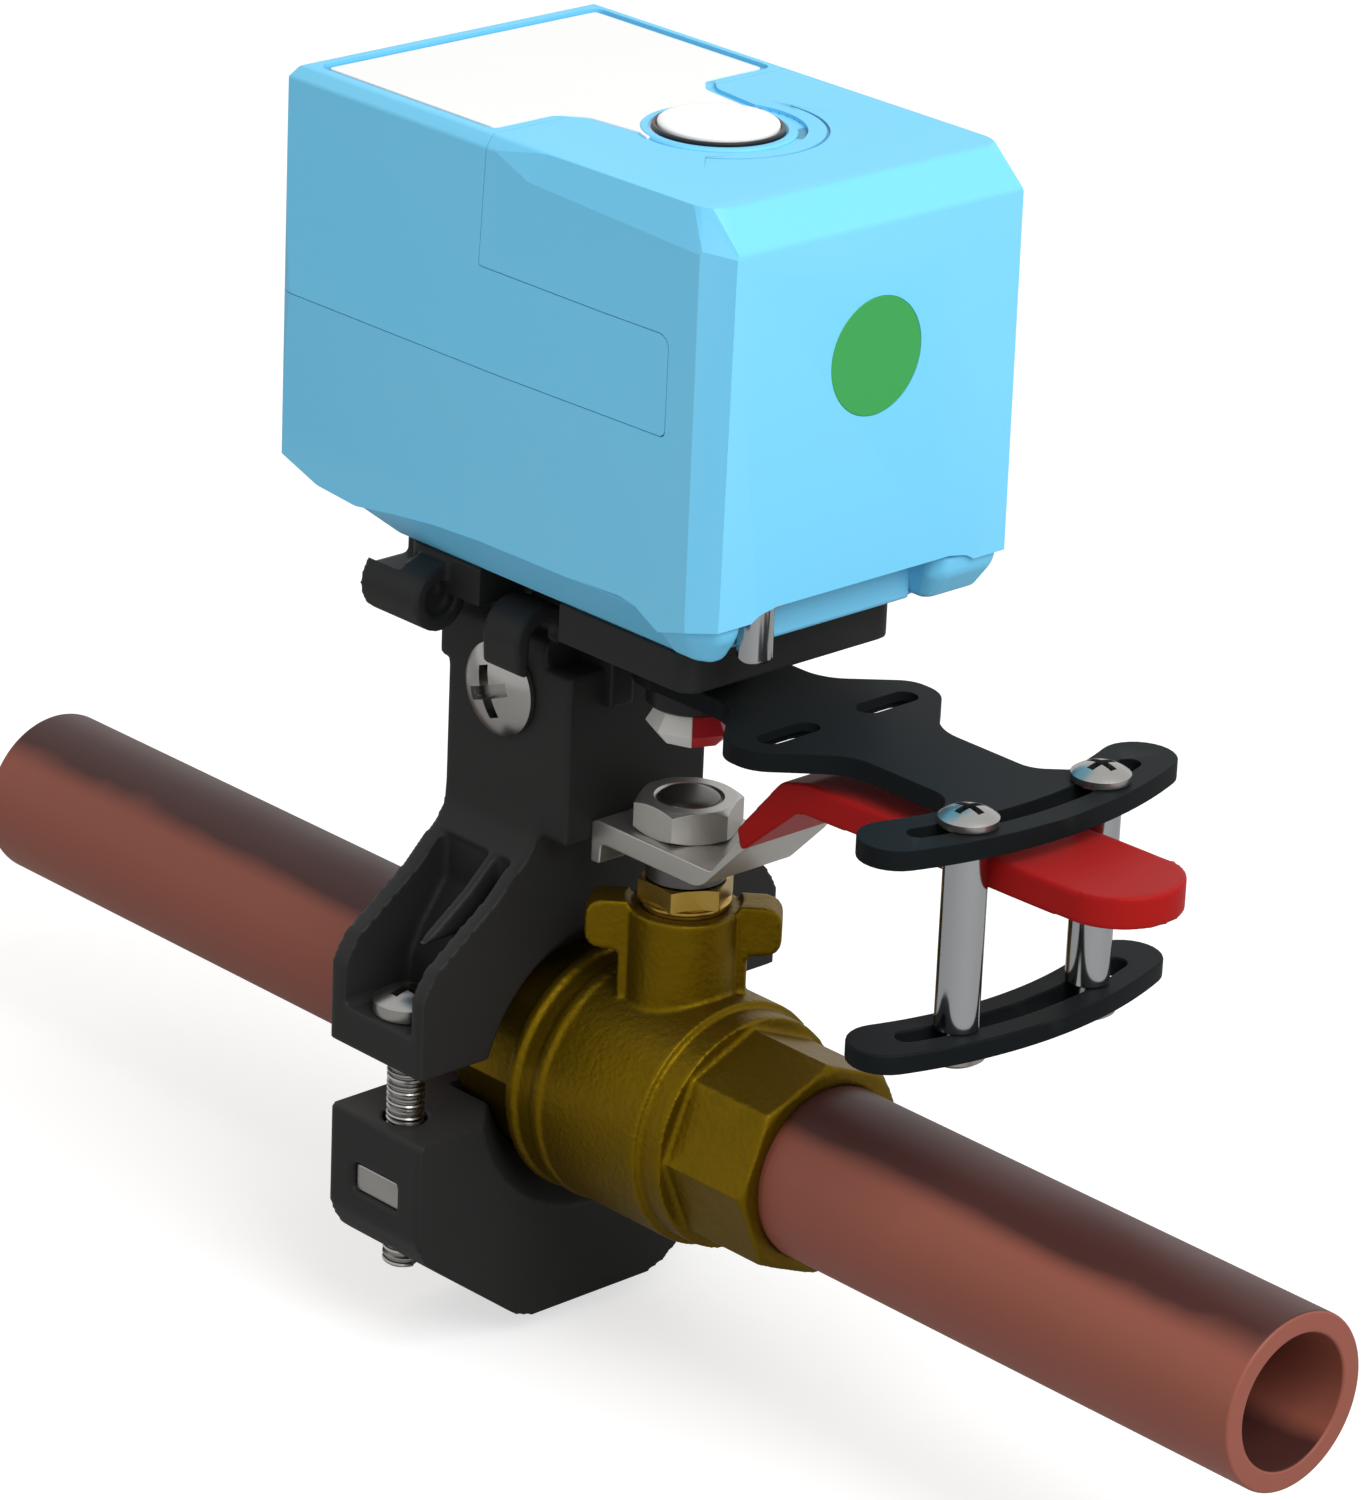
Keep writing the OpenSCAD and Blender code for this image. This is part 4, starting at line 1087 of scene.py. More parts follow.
class Pattern:
    """Geometry Nodes trees for what repeats or follows a path."""

    SPIRAL_STEPS = 40
    RIDGE_STEPS = 8
    RIDGE_SHARE = 0.36

    def __init__(self) -> None:
        """Builds the trees."""
        self.row = self._row_tree()
        self.thread = self._thread_tree()

    @staticmethod
    def _tree(name: str, inputs: dict[str, str]) -> tuple[Tree, Sockets, Sockets]:
        """Makes an empty modifier tree with geometry in and out."""
        return group(name, "Geometry", {"Geometry": "Geometry", **inputs, "Material": "Material"},
                     {"Geometry": "Geometry"})

    @staticmethod
    def _finish(tree: Tree, shape: Socket, given: Sockets, taken: Sockets) -> None:
        """Ends a tree in Realize Instances and Set Material.

        Args:
            tree: The tree.
            shape: Socket of the finished geometry.
            given: What the tree's inputs give.
            taken: What the tree's outputs take.
        """
        real = node(tree, "GeometryNodeRealizeInstances", {0: shape})
        dress = node(tree, "GeometryNodeSetMaterial",
                     {0: real.outputs[0], "Material": given["Material"]})
        tree.links.new(dress.outputs[0], taken[0])

    def _row_tree(self) -> Tree:
        """Repeats a shape along a straight row.

        Returns:
            The tree.
        """
        tree, given, taken = self._tree(
            "row_of_pieces", {"Count": "Int", "First": "Vector", "Step": "Vector"})
        line = node(tree, "GeometryNodeMeshLine",
                    {"Count": given["Count"], "Start Location": given["First"],
                     "Offset": given["Step"]}, mode="OFFSET")
        place = node(tree, "GeometryNodeInstanceOnPoints",
                     {"Points": line.outputs[0], "Instance": given["Geometry"]})
        self._finish(tree, place.outputs[0], given, taken)
        return tree

    def _thread_tree(self) -> Tree:
        """Winds a round-crested thread up a shank and keeps the shank.

        Returns:
            The tree.
        """
        tree, given, taken = self._tree(
            "thread_on_shank", {"Turns": "Float", "Height": "Float", "Radius": "Float",
                                "Ridge": "Float", "Base": "Vector"})
        spiral = node(tree, "GeometryNodeCurveSpiral",
                      {"Resolution": self.SPIRAL_STEPS, "Rotations": given["Turns"],
                       "Start Radius": given["Radius"], "End Radius": given["Radius"],
                       "Height": given["Height"]})
        ring = node(tree, "GeometryNodeCurvePrimitiveCircle",
                    {"Resolution": self.RIDGE_STEPS, "Radius": given["Ridge"]})
        sweep = node(tree, "GeometryNodeCurveToMesh",
                     {"Fill Caps": True, "Curve": spiral.outputs[0],
                      "Profile Curve": ring.outputs[0]})
        lift = node(tree, "GeometryNodeTransform",
                    {"Geometry": sweep.outputs[0], "Translation": given["Base"]})
        both = node(tree, "GeometryNodeJoinGeometry", {0: lift.outputs[0]})
        fill(tree, both, {0: given["Geometry"]})
        self._finish(tree, both.outputs[0], given, taken)
        return tree

    @staticmethod
    def apply(item: Item, tree: Tree, values: dict[str, object]) -> None:
        """Runs a tree on an object and keeps the result as its mesh.

        Args:
            item: The object.
            tree: The tree.
            values: Value of each named input.
        """
        step = item.modifiers.new("pattern", "NODES")
        step.node_group = tree
        for socket in tree.interface.items_tree:
            if socket.in_out == "INPUT" and socket.name in values:
                step[socket.identifier] = values[socket.name]
        plain(item)

    def pair(self, item: Item, first: Sequence[float], step: Sequence[float],
             material: Material) -> None:
        """Makes an object a pair.

        Args:
            item: The object, modelled about the origin.
            first: Place of the first one, millimetres.
            step: Way from the first one to the second, millimetres.
            material: Material of both.
        """
        self.apply(item, self.row, {"Count": 2, "First": [v * MM for v in first],
                                    "Step": [v * MM for v in step], "Material": material})

    def thread_on(self, item: Item, radius: float, low: float, high: float,
                  pitch: float, material: Material) -> None:
        """Adds a thread to a shank that stands on the Z axis.

        Args:
            item: The shank.
            radius: Crest radius of the thread.
            low: Lower end of the thread.
            high: Upper end of the thread.
            pitch: Height of one turn.
            material: Material of the thread.
        """
        ridge = pitch * self.RIDGE_SHARE
        self.apply(item, self.thread, {
            "Turns": (high - low - 2 * ridge) / pitch, "Height": (high - low - 2 * ridge) * MM,
            "Radius": (radius - ridge) * MM, "Ridge": ridge * MM,
            "Base": [0.0, 0.0, (low + ridge) * MM], "Material": material})


@dataclass
class Assembly:
    """What every sub-assembly works with.

    Args:
        fitter: Hands pieces over and dresses them.
        pattern: Trees for what repeats.
    """

    fitter: Fitter
    pattern: Pattern

    def copy(self, source: str, name: str) -> Item:
        """Gives a merged copy of a node of the frame."""
        return clean(link(name, self.fitter.cad[source].data.copy()), 0.5)

    def paint(self, finish: Finish) -> Material:
        """Gives the material of a finish."""
        return self.fitter.workshop.material(finish)


@dataclass
class Pipework(Assembly):
    """The two pipe ends.

    Args:
        radius: Outside radius.
        bore: Radius of the water way.
        thread: Crest radius of the thread.
        inlet_end: Free end of the inlet pipe.
        outlet_end: Free end of the outlet pipe.
        inlet_step: Where the inlet pipe's thread starts.
        outlet_step: Where the outlet pipe's thread starts.
        socket: Depth of the sockets.
        lip: Rounding of the cut ends.
    """

    radius: float = 13.35
    bore: float = 10.1
    thread: float = 13.1
    inlet_end: float = -150.0
    outlet_end: float = 124.0
    inlet_step: float = -38.0
    outlet_step: float = 32.4
    socket: float = 18.0
    lip: float = 0.45

    def tube(self, name: str, end: float, step: float, inner: float) -> Item:
        """Turns one pipe.

        Args:
            name: Name of the piece.
            end: Its free end.
            step: Where its thread starts.
            inner: Its end in the valve.

        Returns:
            The pipe.
        """
        s = 1 if step > end else -1
        rim = self.lip
        outer = [(self.radius - rim + rim * math.sin(a), end + s * rim * (1 - math.cos(a)))
                 for a in (0.0, 0.4, 0.8, 1.2, math.pi / 2)]
        inside = [(self.bore + rim - rim * math.sin(a), end + s * rim * (1 - math.cos(a)))
                  for a in (math.pi / 2, 1.2, 0.8, 0.4, 0.0)]
        far = [(self.radius, step - s * 0.15), (self.thread, step), (self.thread, inner),
               (self.bore, inner)]
        return lathe(name, inside + outer + far, Axis.X, segments=144)

    def build(self) -> None:
        """Makes and dresses both pipes."""
        for way, end, step, inner in (("inlet", self.inlet_end, self.inlet_step, -self.socket),
                                      ("outlet", self.outlet_end, self.outlet_step, self.socket)):
            pipe = self.tube(f"pipe_{way}_side", end, step, inner)
            self.fitter.fit(pipe, PIPE_BROWN, Body.ROOT, f"{way}_pipe", angle=40)


@dataclass
class BallValve(Assembly):
    """Cast valve with its gland, stem and nut.

    Args:
        half: Distance from the stem axis to the end faces.
        octagon: Corner radius of the eight-sided ends.
        bonnet: Radius of the bonnet.
        strip_top: Height of the handle strip's top.
        nut_top: Height of the stem nut's top.
        nut_radius: Corner radius of the stem nut.
        gland_low: Height of the gland's collar.
        gland_top: Top of the gland's collar.
        skin: Facet size of the cast skin.
    """

    half: float = 31.8
    octagon: float = 16.8
    bonnet: float = 8.5
    strip_top: float = 43.6
    nut_top: float = 48.6
    nut_radius: float = 8.3
    gland_low: float = 32.6
    gland_top: float = 36.0
    skin: float = 0.4

    def end_cone(self, side: int) -> Item:
        """Cutter that bevels the corners of an eight-sided end.

        Args:
            side: Which end, 1 or -1.

        Returns:
            A closed solid.
        """
        r = self.octagon
        near, far = side * self.half + side * 0.01, side * self.half - side * 1.7
        profile = [(r - 1.1, near), (r + 2.0, far), (r + 4.0, far), (r + 4.0, near)]
        return lathe("cone", profile, Axis.X, segments=96)

    def build(self) -> None:
        """Makes and dresses the valve."""
        wide, slim = self.bonnet + 1.0, self.bonnet - 0.3
        groove = lathe("groove", [(slim, 29.6), (wide, 29.6), (wide, 30.0), (slim, 30.0)], Axis.Z)
        for source, name, tools in (("valve_body", "valve_casting", [self.end_cone(1), groove]),
                                    ("valve_end_cap", "valve_cap_casting", [self.end_cone(-1)])):
            casting = self.copy(source, name)
            for tool in tools:
                cut(casting, tool)
            melt(casting, self.skin, 2)
            self.fitter.fit(casting, OLIVE_BRASS, Body.ROOT, source, angle=60)
        self.gland()
        self.stem()
        self.nut()

    def gland(self) -> None:
        """The bright gland nut with its neck."""
        low, high, bore = self.gland_low, self.gland_top, 5.06
        neck = lathe("gland_nut_turned", [(bore, 27.0), (6.4, 27.0), (6.4, 31.9), (6.9, 32.3),
                                          (6.9, 32.7), (6.4, 32.9), (bore, 32.9)],
                     Axis.Z, segments=72)
        profile = [(0, low), (7.0, low), (7.9, low + 0.55), (7.9, high - 0.55), (6.4, high),
                   (0, high)]
        fuse(neck, hexagon("hexagon", 7.2, Axis.Z, profile, rod("hole", bore, Axis.Z, 20, 40),
                           segments=72))
        soften(neck, 0.18, 2, 35)
        self.fitter.fit(neck, BRIGHT_BRASS, Body.ROOT, "gland_nut")

    def stem(self) -> None:
        """The stem, threaded where the nut sits."""
        top, steel = self.nut_top, self.paint(STEM_STEEL)
        stem = self.copy("stem", "stem_turned")
        soften(stem, 0.25, 2, 35)
        stem.data.materials.append(steel)
        self.pattern.thread_on(stem, 5.0, self.strip_top + 0.2, top + 0.1, 1.25, steel)
        dome = lathe("dome", [(0, top - 0.6), (4.7, top - 0.6), (4.6, top - 0.1), (4.1, top + 0.25),
                              (3.0, top + 0.45), (0, top + 0.5)], Axis.Z, segments=48)
        self.fitter.fit(join("stem_threaded", [stem, dome]), STEM_STEEL, Body.VALVE, "stem")

    def nut(self) -> None:
        """The hexagon nut with bevelled corners and a turned rim."""
        low, high, wide = self.strip_top, self.nut_top, self.nut_radius + 0.6
        flat = self.nut_radius * math.cos(math.pi / 6)
        profile = [(0, low), (flat - 0.1, low), (wide, low + 0.95), (wide, high - 1.0),
                   (flat - 0.1, high), (0, high)]
        bore = lathe("bore", [(0, low - 1), (4.7, low - 1), (4.7, high - 0.5), (5.5, high + 0.3),
                              (0, high + 0.3)], Axis.Z, segments=72)
        nut = hexagon("stem_nut_forged", self.nut_radius, Axis.Z, profile, bore)
        soften(nut, 0.16, 2, 28)
        self.fitter.fit(nut, STRIP_STEEL, Body.VALVE, "stem_nut")


@dataclass
class Handle(Assembly):
    """Steel handle strip and its dipped grip.

    Args:
        half: Half width of the strip.
        grip_half: Half width of the grip.
        reach: End of the grip.
        low: Underside of the strip at the stem.
        top: Top of the strip at the stem.
        thin: Thickness of the strip in the grip.
        coat: Thickness of the grip there.
        tab_x: Outer face of the turned-down tab.
        tab_low: Lower end of the tab.
    """

    half: float = 8.8
    grip_half: float = 9.3
    reach: float = 94.5
    low: float = 40.1
    top: float = 43.6
    thin: float = 2.6
    coat: float = 4.8
    tab_x: float = -12.6
    tab_low: float = 36.8

    def side(self, t: float, start: bool) -> tuple[list[Point], list[float]]:
        """Side outline of the strip or of the grip.

        Args:
            t: Thickness in the grip.
            start: True for the whole strip, False for the grip alone.

        Returns:
            The corner points and their radii.
        """
        k = (t - 3) * 0.36
        tail = [(29.6 + t * 0.36, 59.9 - t * 0.33), (33.6, 61.1 - t / 2),
                (self.reach, 63.1 - t / 2), (self.reach, 63.1 + t / 2),
                (33.2, 61.1 + t / 2), (29.8 - t * 0.36, 60.6 + t * 0.33)]
        bends = [2.5, 2.5, 0.0, 0.0, 3.5, 3.5]
        if not start:
            corners = [(20.6 - k * 0.2, 48.9)] + tail + [(20.2 - k, 51.6 + k * 0.9)]
            return corners, [0.4] + bends + [0.4]
        x = self.tab_x
        corners = [(x + 3.3, self.tab_low), (x + 3.5, self.low), (11.9, self.low)] + tail
        corners += [(14.2, self.top), (x, self.top), (x, self.tab_low)]
        return corners, [0.5, 1.0, 4.5] + bends + [1.5, 3.6, 0.5]

    def plan(self, near: float, far: float, reach: float) -> list[Point]:
        """Plan outline with a round end.

        Args:
            near: Half width at the stem.
            far: Half width in the grip.
            reach: Outer end.

        Returns:
            The outline.
        """
        x = self.tab_x
        end = arc((reach - far, 0), far, -90, 90, 24)
        return [(x, -near + 1.5), (x + 1.5, -near), (19.5, -near), (22.5, -far)] + end + [
            (22.5, far), (19.5, near), (x + 1.5, near), (x, near - 1.5)]

    def solid(self, name: str, t: float, near: float, far: float, reach: float) -> Item:
        """Solid between the side outline and the plan outline.

        Args:
            name: Name of the piece; handle_strip gets the whole side outline.
            t: Thickness in the grip.
            near: Half width at the stem.
            far: Half width in the grip.
            reach: Outer end.

        Returns:
            A closed solid.
        """
        whole = name == "handle_strip"
        corners, radii = self.side(t, whole)
        item = prism(name, rounded(corners, radii, 7 if whole else 9), Axis.Y, -near - 1, near + 1)
        plan = prism("plan", self.plan(near, far, reach), Axis.Z, 30 if whole else 40, 80)
        return combine(item, [plan], "INTERSECT")

    def build(self) -> None:
        """Makes and dresses the strip and the grip."""
        strip = self.solid("handle_strip", self.thin, self.half, 7.6, self.reach - 2)
        hole = combine(rod("hole", 4.75, Axis.Z, 34, 45),
                       [box("flats", (-6, -3.65, 33), (6, 3.65, 46))], "INTERSECT")
        cut(strip, hole)
        soften(strip, 0.3, 3, 40)
        self.fitter.fit(strip, STRIP_STEEL, Body.VALVE, "lever_plate")
        grip = self.solid("handle_grip", self.coat, self.grip_half, self.grip_half, self.reach)
        outline = [(14.0, 40.0), (24.0, 50.2), (31.0, 57.9), (33.0, 55.0), (24.0, 40.0)]
        underside = prism("underside", outline, Axis.Y, -12, 12)
        melt(grip, 0.45, 3)
        cut(grip, underside)
        self.fitter.fit(grip, GRIP_RED, Body.VALVE, "lever_grip", angle=50)


@dataclass
class Bracket(Assembly):
    """Two clamp halves with their bolts and the screw that holds the motor unit.

    Args:
        back: Rear face of the clamp.
        front: Front face of the clamp.
        post: Half width of the upright post.
        bolt_x: Place of the bolts along the pipe.
        bolt_y: Half distance between the bolts.
        bolt: Radius of the bolts.
        head_z: Underside of the bolt heads.
        pipe: Radius of the bore on the pipe.
        web: Where the bore on the pipe ends.
        relief: Radius of the room for the valve's end.
        arch: Radius of the mouth at the front face.
        top: Height of the post.
        screw_x: Axis of the big screw.
        screw_z: Height of the big screw.
        skin: Facet size of the moulded skin.
        base_top: Top of the motor unit's base block.
        base_half: Its half width.
        hook_at: Axis of the hook, as (y, z).
        hook: Its outer radius.
        eye: Its inner radius.
        knuckle_at: Axis of the knuckle, as (y, z).
        knuckle: Its radius.
    """

    back: float = -37.5
    front: float = -17.0
    post: float = 13.8
    bolt_x: float = -27.2
    bolt_y: float = 29.5
    bolt: float = 2.9
    head_z: float = 12.5
    pipe: float = 13.1
    web: float = -31.9
    relief: float = 17.3
    arch: float = 23.3
    top: float = 75.0
    screw_x: float = -26.0
    screw_z: float = 60.6
    skin: float = 0.5
    base_top: float = 81.0
    base_half: float = 20.4
    hook_at: Point = (-16.4, 72.0)
    hook: float = 5.3
    eye: float = 2.7
    knuckle_at: Point = (-21.5, 74.4)
    knuckle: float = 4.9

    def bore(self) -> Item:
        """Cutter for the pipe and the valve's end.

        Returns:
            A closed solid.
        """
        start, mouth, end = self.back - 5, self.front, self.front + 2
        profile = [(0, start), (self.pipe, start), (self.pipe, self.web), (self.relief, self.web),
                   (self.relief, -23.0), (self.arch, mouth), (self.arch, end), (0, end)]
        return lathe("bore", profile, Axis.X, segments=96)

    def upper(self) -> None:
        """The clamp half with the upright post."""
        b, f, p = self.back, self.front, self.post
        half = [(35.8, 6.1), (35.8, 19.3), (33.0, 23.2), (21.9, 31.4), (14.6, 38.2), (p, 44)]
        outline = symmetric(half, [0.8, 5.0, 6.0, 12.0, 12.0, 0.0], 6)
        body = prism("bracket_upper", outline, Axis.X, b, f)
        column = [(-p, 40), (p, 40), (p, 46), (p, 66.5), (-p, 66.5), (-p, 46)]
        fuse(body, prism("post", rounded(column, [0, 0, 0, 1, 1, 0]), Axis.X, b - 0.7, -11.3),
             prism("head", rounded([(-p, 61), (p, 61), (p, 71), (-p, 71)], [1.5, 1.5, 2, 2]),
                   Axis.X, b - 2.7, f),
             box("neck", (b + 1, -p + 2, 70), (f + 3, p - 2, self.top)))
        pocket = [(40, self.head_z), (40, 36), (16.5, 36), (16.5, 28.4), (21, 22), (23.0, 18.0),
                  (23.6, self.head_z)]
        tools = [self.bore()]
        for side in (-1, 1):
            shape = [(side * y, z) for y, z in pocket]
            if side > 0:
                shape.reverse()
            hollow = prism("pocket", rounded(shape, [0, 0, 0, 1.5, 4, 3, 0.8]), Axis.X,
                           -34.5, -19.5)
            near, far = sorted((16 * side, 40 * side))
            cut(hollow, box("rib", (-24.4, near, 25), (-22.6, far, 37)))
            tools.append(hollow)
            tools.append(rod("bolt", self.bolt + 0.4, Axis.Z, 0, self.head_z + 1,
                             (self.bolt_x, side * self.bolt_y)))
        tools.append(box("slot", (-34.2, -6, 50), (-17.8, 6, self.top + 1)))
        tools.append(rod("screw", 4.2, Axis.Y, -p - 1, p + 1, (self.screw_x, self.screw_z)))
        cut(body, *tools)
        melt(body, self.skin, 2)
        self.fitter.fit(body, BRACKET_BLACK, Body.ROOT, "upper_bracket", angle=60)

    def lower(self) -> None:
        """The clamp half below the pipe."""
        half = [(35.3, -4.5), (35.3, -20.5), (33.2, -24.6), (14.8, -38.2), (11.4, -39.2)]
        outline = symmetric(half, [0.8, 5.0, 6.0, 5.0, 3.0], 6)
        body = prism("bracket_lower", outline, Axis.X, self.back, self.front)
        tools = [self.bore()]
        for side in (-1, 1):
            y = side * self.bolt_y
            tools.append(rod("bolt", self.bolt + 0.4, Axis.Z, -40, 0, (self.bolt_x, y)))
            low, high = sorted((y - side * 5.1, side * 40.0))
            tools.append(box("nut", (self.bolt_x - 5.1, low, -17),
                             (self.bolt_x + 5.1, high, -12.2)))
        cut(body, *tools)
        melt(body, self.skin, 2)
        self.fitter.fit(body, BRACKET_BLACK, Body.ROOT, "lower_clamp", angle=60)

    def fasteners(self) -> None:
        """Bolts with cut threads, square nuts and the big cross-headed screw."""
        zinc, apart = self.paint(ZINC), (0, 2 * self.bolt_y, 0)
        bolt = pan_screw("clamp_bolt_pair", 5.2, 4.0, self.bolt - 0.42, self.head_z + 28.5)
        self.pattern.thread_on(bolt, self.bolt, -self.head_z - 28.4, -self.head_z + 5.5, 1.0, zinc)
        self.pattern.pair(bolt, (self.bolt_x, -self.bolt_y, self.head_z), apart, zinc)
        self.fitter.fit(bolt, ZINC, Body.ROOT, "clamp_bolts")
        nut = box("clamp_nut_pair", (-5, -5, -17), (5, 5, -12.6))
        cut(nut, rod("hole", self.bolt, Axis.Z, -20, -10))
        soften(nut, 0.35, 3)
        self.pattern.pair(nut, (self.bolt_x, -self.bolt_y, 0), apart, zinc)
        self.fitter.fit(nut, ZINC, Body.ROOT, "clamp_nuts")
        screw = pan_screw("bracket_screw_turned", 7.2, 3.5, 4.0, 2 * self.post + 6.5)
        place = Matrix.Translation(Vector((self.screw_x, -self.post, self.screw_z)) * MM)
        turn = Matrix.Rotation(math.pi / 2, 4, "X") @ Matrix.Rotation(0.35, 4, "Z")
        screw.data.transform(place @ turn)
        self.fitter.fit(screw, ZINC, Body.ROOT, "bracket_screw")
        low, high, center = self.post, self.post + 6, (self.screw_x, self.screw_z)
        profile = [(0, low), (8, low), (8, self.post + 5.2), (6.4, high), (0, high)]
        bore = rod("hole", 4.0, Axis.Y, low - 1, self.post + 7, center)
        back = hexagon("bracket_nut_forged", 7.5, Axis.Y, profile, bore, center)
        soften(back, 0.2, 2)
        self.fitter.fit(back, ZINC, Body.ROOT, "bracket_nut")

    def build(self) -> None:
        """Makes and dresses the bracket."""
        self.upper()
        self.lower()
        self.fasteners()
        self.base()

    def base(self) -> None:
        """Base block of the motor unit with its knuckle, tongue and hook over the screw."""
        low, high, half = self.top, self.base_top, self.base_half
        outline = rounded([(-41, -half), (20, -half), (20, half), (-41, half)], 3, 6)
        body = prism("motor_unit_base", outline, Axis.Z, low, high)
        cut(body, box("gap", (-24.4, -22, low - 1), (-7.4, -11.2, high + 1)))
        outline = [(-19.3, 66.7), (-21.3, 67.8)] + arc(self.hook_at, self.hook, 180, -20, 16)
        outline += arc(self.hook_at, self.eye, -20, 180, 14)
        hook = cut(prism("hook", outline, Axis.X, -22.3, -14.5),
                   box("post", (-38, -14, 60), (-16.9, 0, 75.1)))
        knuckle = rod("knuckle", self.knuckle, Axis.X, -44, -31.4, self.knuckle_at)
        fuse(knuckle, box("lug", (-44, -21.5, 75.4), (-31.4, -16, 79.7)))
        cut(knuckle, box("notch", (-45, -24.8, 77.3), (-37.5, -17.5, 82)),
            rod("socket", 2.8, Axis.X, -33.4, -30, self.knuckle_at))
        fuse(body, knuckle, hook, box("web", (-22.3, -12.4, 74.6), (-14.5, -10, 79.5)),
             box("tongue", (-34, -5.8, 51), (-18, 5.8, 76)),
             box("cheek", (-17.6, -7.2, 60.5), (-9.7, -2.6, 76)))
        cut(body, rod("screw", 4.2, Axis.Y, -17.8, 14.8, (self.screw_x, self.screw_z)),
            rod("shaft", 7.0, Axis.Z, low - 1, high + 1))
        melt(body, 0.4, 2)
        self.fitter.fit(body, BRACKET_BLACK, Body.ROOT, "actuator_base", angle=60)


@dataclass
class Housing(Assembly):
    """Two-part moulded cover of the motor unit with its panel and button.

    Args:
        rear: Rear end.
        front: Front face.
        half: Half width at the widest.
        low: Underside.
        top: Top face.
        part: Height of the parting line.
        wall: Wall thickness.
        gap: Width of the parting line.
        tray: Depth of the tray around the panel.
        chamfer: Size of the front's top bevel and of its uprights.
        edge: Half width where the bevel along the top's sides starts.
        brow: Size of that bevel, as (across, down).
        button: Radius of the push button.
        seat: Radius of the hole round the button.
        badge: Radius of the badge.
        badge_z: Height of the badge.
        pin_at: Place of the release pin, as (x, y).
        inlet_at: Axis of the power inlet, as (y, z).
    """

    rear: float = -60.0
    front: float = 33.5
    half: float = 31.0
    low: float = 81.0
    top: float = 150.0
    part: float = 116.5
    wall: float = 2.6
    gap: float = 0.14
    tray: float = 0.55
    chamfer: float = 5.2
    edge: float = 29.48
    brow: Point = (1.28, 1.8)
    button: float = 8.7
    seat: float = 9.5
    badge: float = 8.7
    badge_z: float = 125.3
    pin_at: Point = (27.0, -14.5)
    inlet_at: Point = (14.0, 109.0)

    def plan(self, inset: float) -> list[Point]:
        """Plan outline, rounded at the rear and bevelled at the front.

        Args:
            inset: Distance inside the outer face.

        Returns:
            The outline.
        """
        x0, x1, y = self.rear + inset, self.front - inset, self.half - inset
        bevel = x1 - self.chamfer
        corners = [(x0, -y), (bevel, -y), (x1, 2.9 - y), (x1, y - 2.9), (bevel, y), (x0, y)]
        return rounded(corners, [5 - inset * 0.6, 0, 0, 0, 0, 5 - inset * 0.6], 14)

    def section(self) -> list[Point]:
        """Drafted cross-section with a bevelled and rounded top edge.

        Returns:
            The outline.
        """
        across, down = self.brow
        right = [(29.8, 82.0), (30.0, 91.5), (self.half, self.part), (self.edge, self.top - down),
                 (self.edge - across, self.top)]
        return symmetric(right, [0.0, 0.0, 0.0, 1.2, 0.9], 7)

    def side(self) -> list[Point]:
        """Side outline: wavy lower edge of the walls, bevelled front and rounded rear.

        Returns:
            The outline.
        """
        front, rear, top = self.front, self.rear, self.top
        edge = [(-50, 88.5), (-41.3, 87.8), (-33, 89.0), (-24, 90.0), (-14, 90.5), (4, 90.6),
                (15.2, 91.2), (18.6, 90.7), (21, 89.4), (23.4, 88.2), (28.4, 89.6), (front, 90.6)]
        roof = [(front, top - self.chamfer), (front - 4.8, top), (rear + 2.6, top),
                (rear + 0.9, top - 2.6), (rear, self.part), (rear, 93.0), (rear + 1.9, 91.2)]
        bend = [4, 6, 4, 8, 20, 20, 2.5, 2.5, 2, 1, 2, 0]
        return rounded(edge + roof, bend + [1.8, 1.8, 1.2, 1.2, 0, 1.0, 1.0], 8)

    def face(self) -> list[Point]:
        """Front outline: the lower edge arches up between the two corners."""
        half = [(16.8, 92.1), (20.2, 91.5), (23.6, 89.5), (25.6, 87.4), (26.2, 82.0), (40.0, 82.0),
                (40.0, self.top + 5)]
        return symmetric(half, [3.0, 4.0, 4.0, 1.5, 0, 0, 0])

    def cup(self, side: int) -> Item:
        """Rounded foot under a front corner.

        Args:
            side: Which side of the part, 1 or -1.

        Returns:
            The foot.
        """
        i = 21.6 if side < 0 else 15.2
        rim = [(21.2, 29.4), (28.3, 29.4), (33.0, 27.2), (33.0, i + 1.8), (31.2, i), (21.2, i)]
        mid = [(21.4, 29.0), (28.2, 29.0), (32.6, 26.9), (32.6, i + 1.8), (30.9, i), (21.4, i)]
        sole = [(23.6, 26.9), (27.9, 26.9), (30.0, 25.6), (30.0, i + 2), (29.0, i + 0.7),
                (23.6, i + 0.7)]
        low, middle, high = 84.5, 88.6, 91.6
        piece = between("cup", [(*p, middle) for p in mid], [(*p, high) for p in rim])
        fuse(piece, between("sole", [(*p, low) for p in sole], [(*p, middle) for p in mid]))
        soften(piece, 1.5, 4, 12)
        return piece if side > 0 else mirrored(piece)

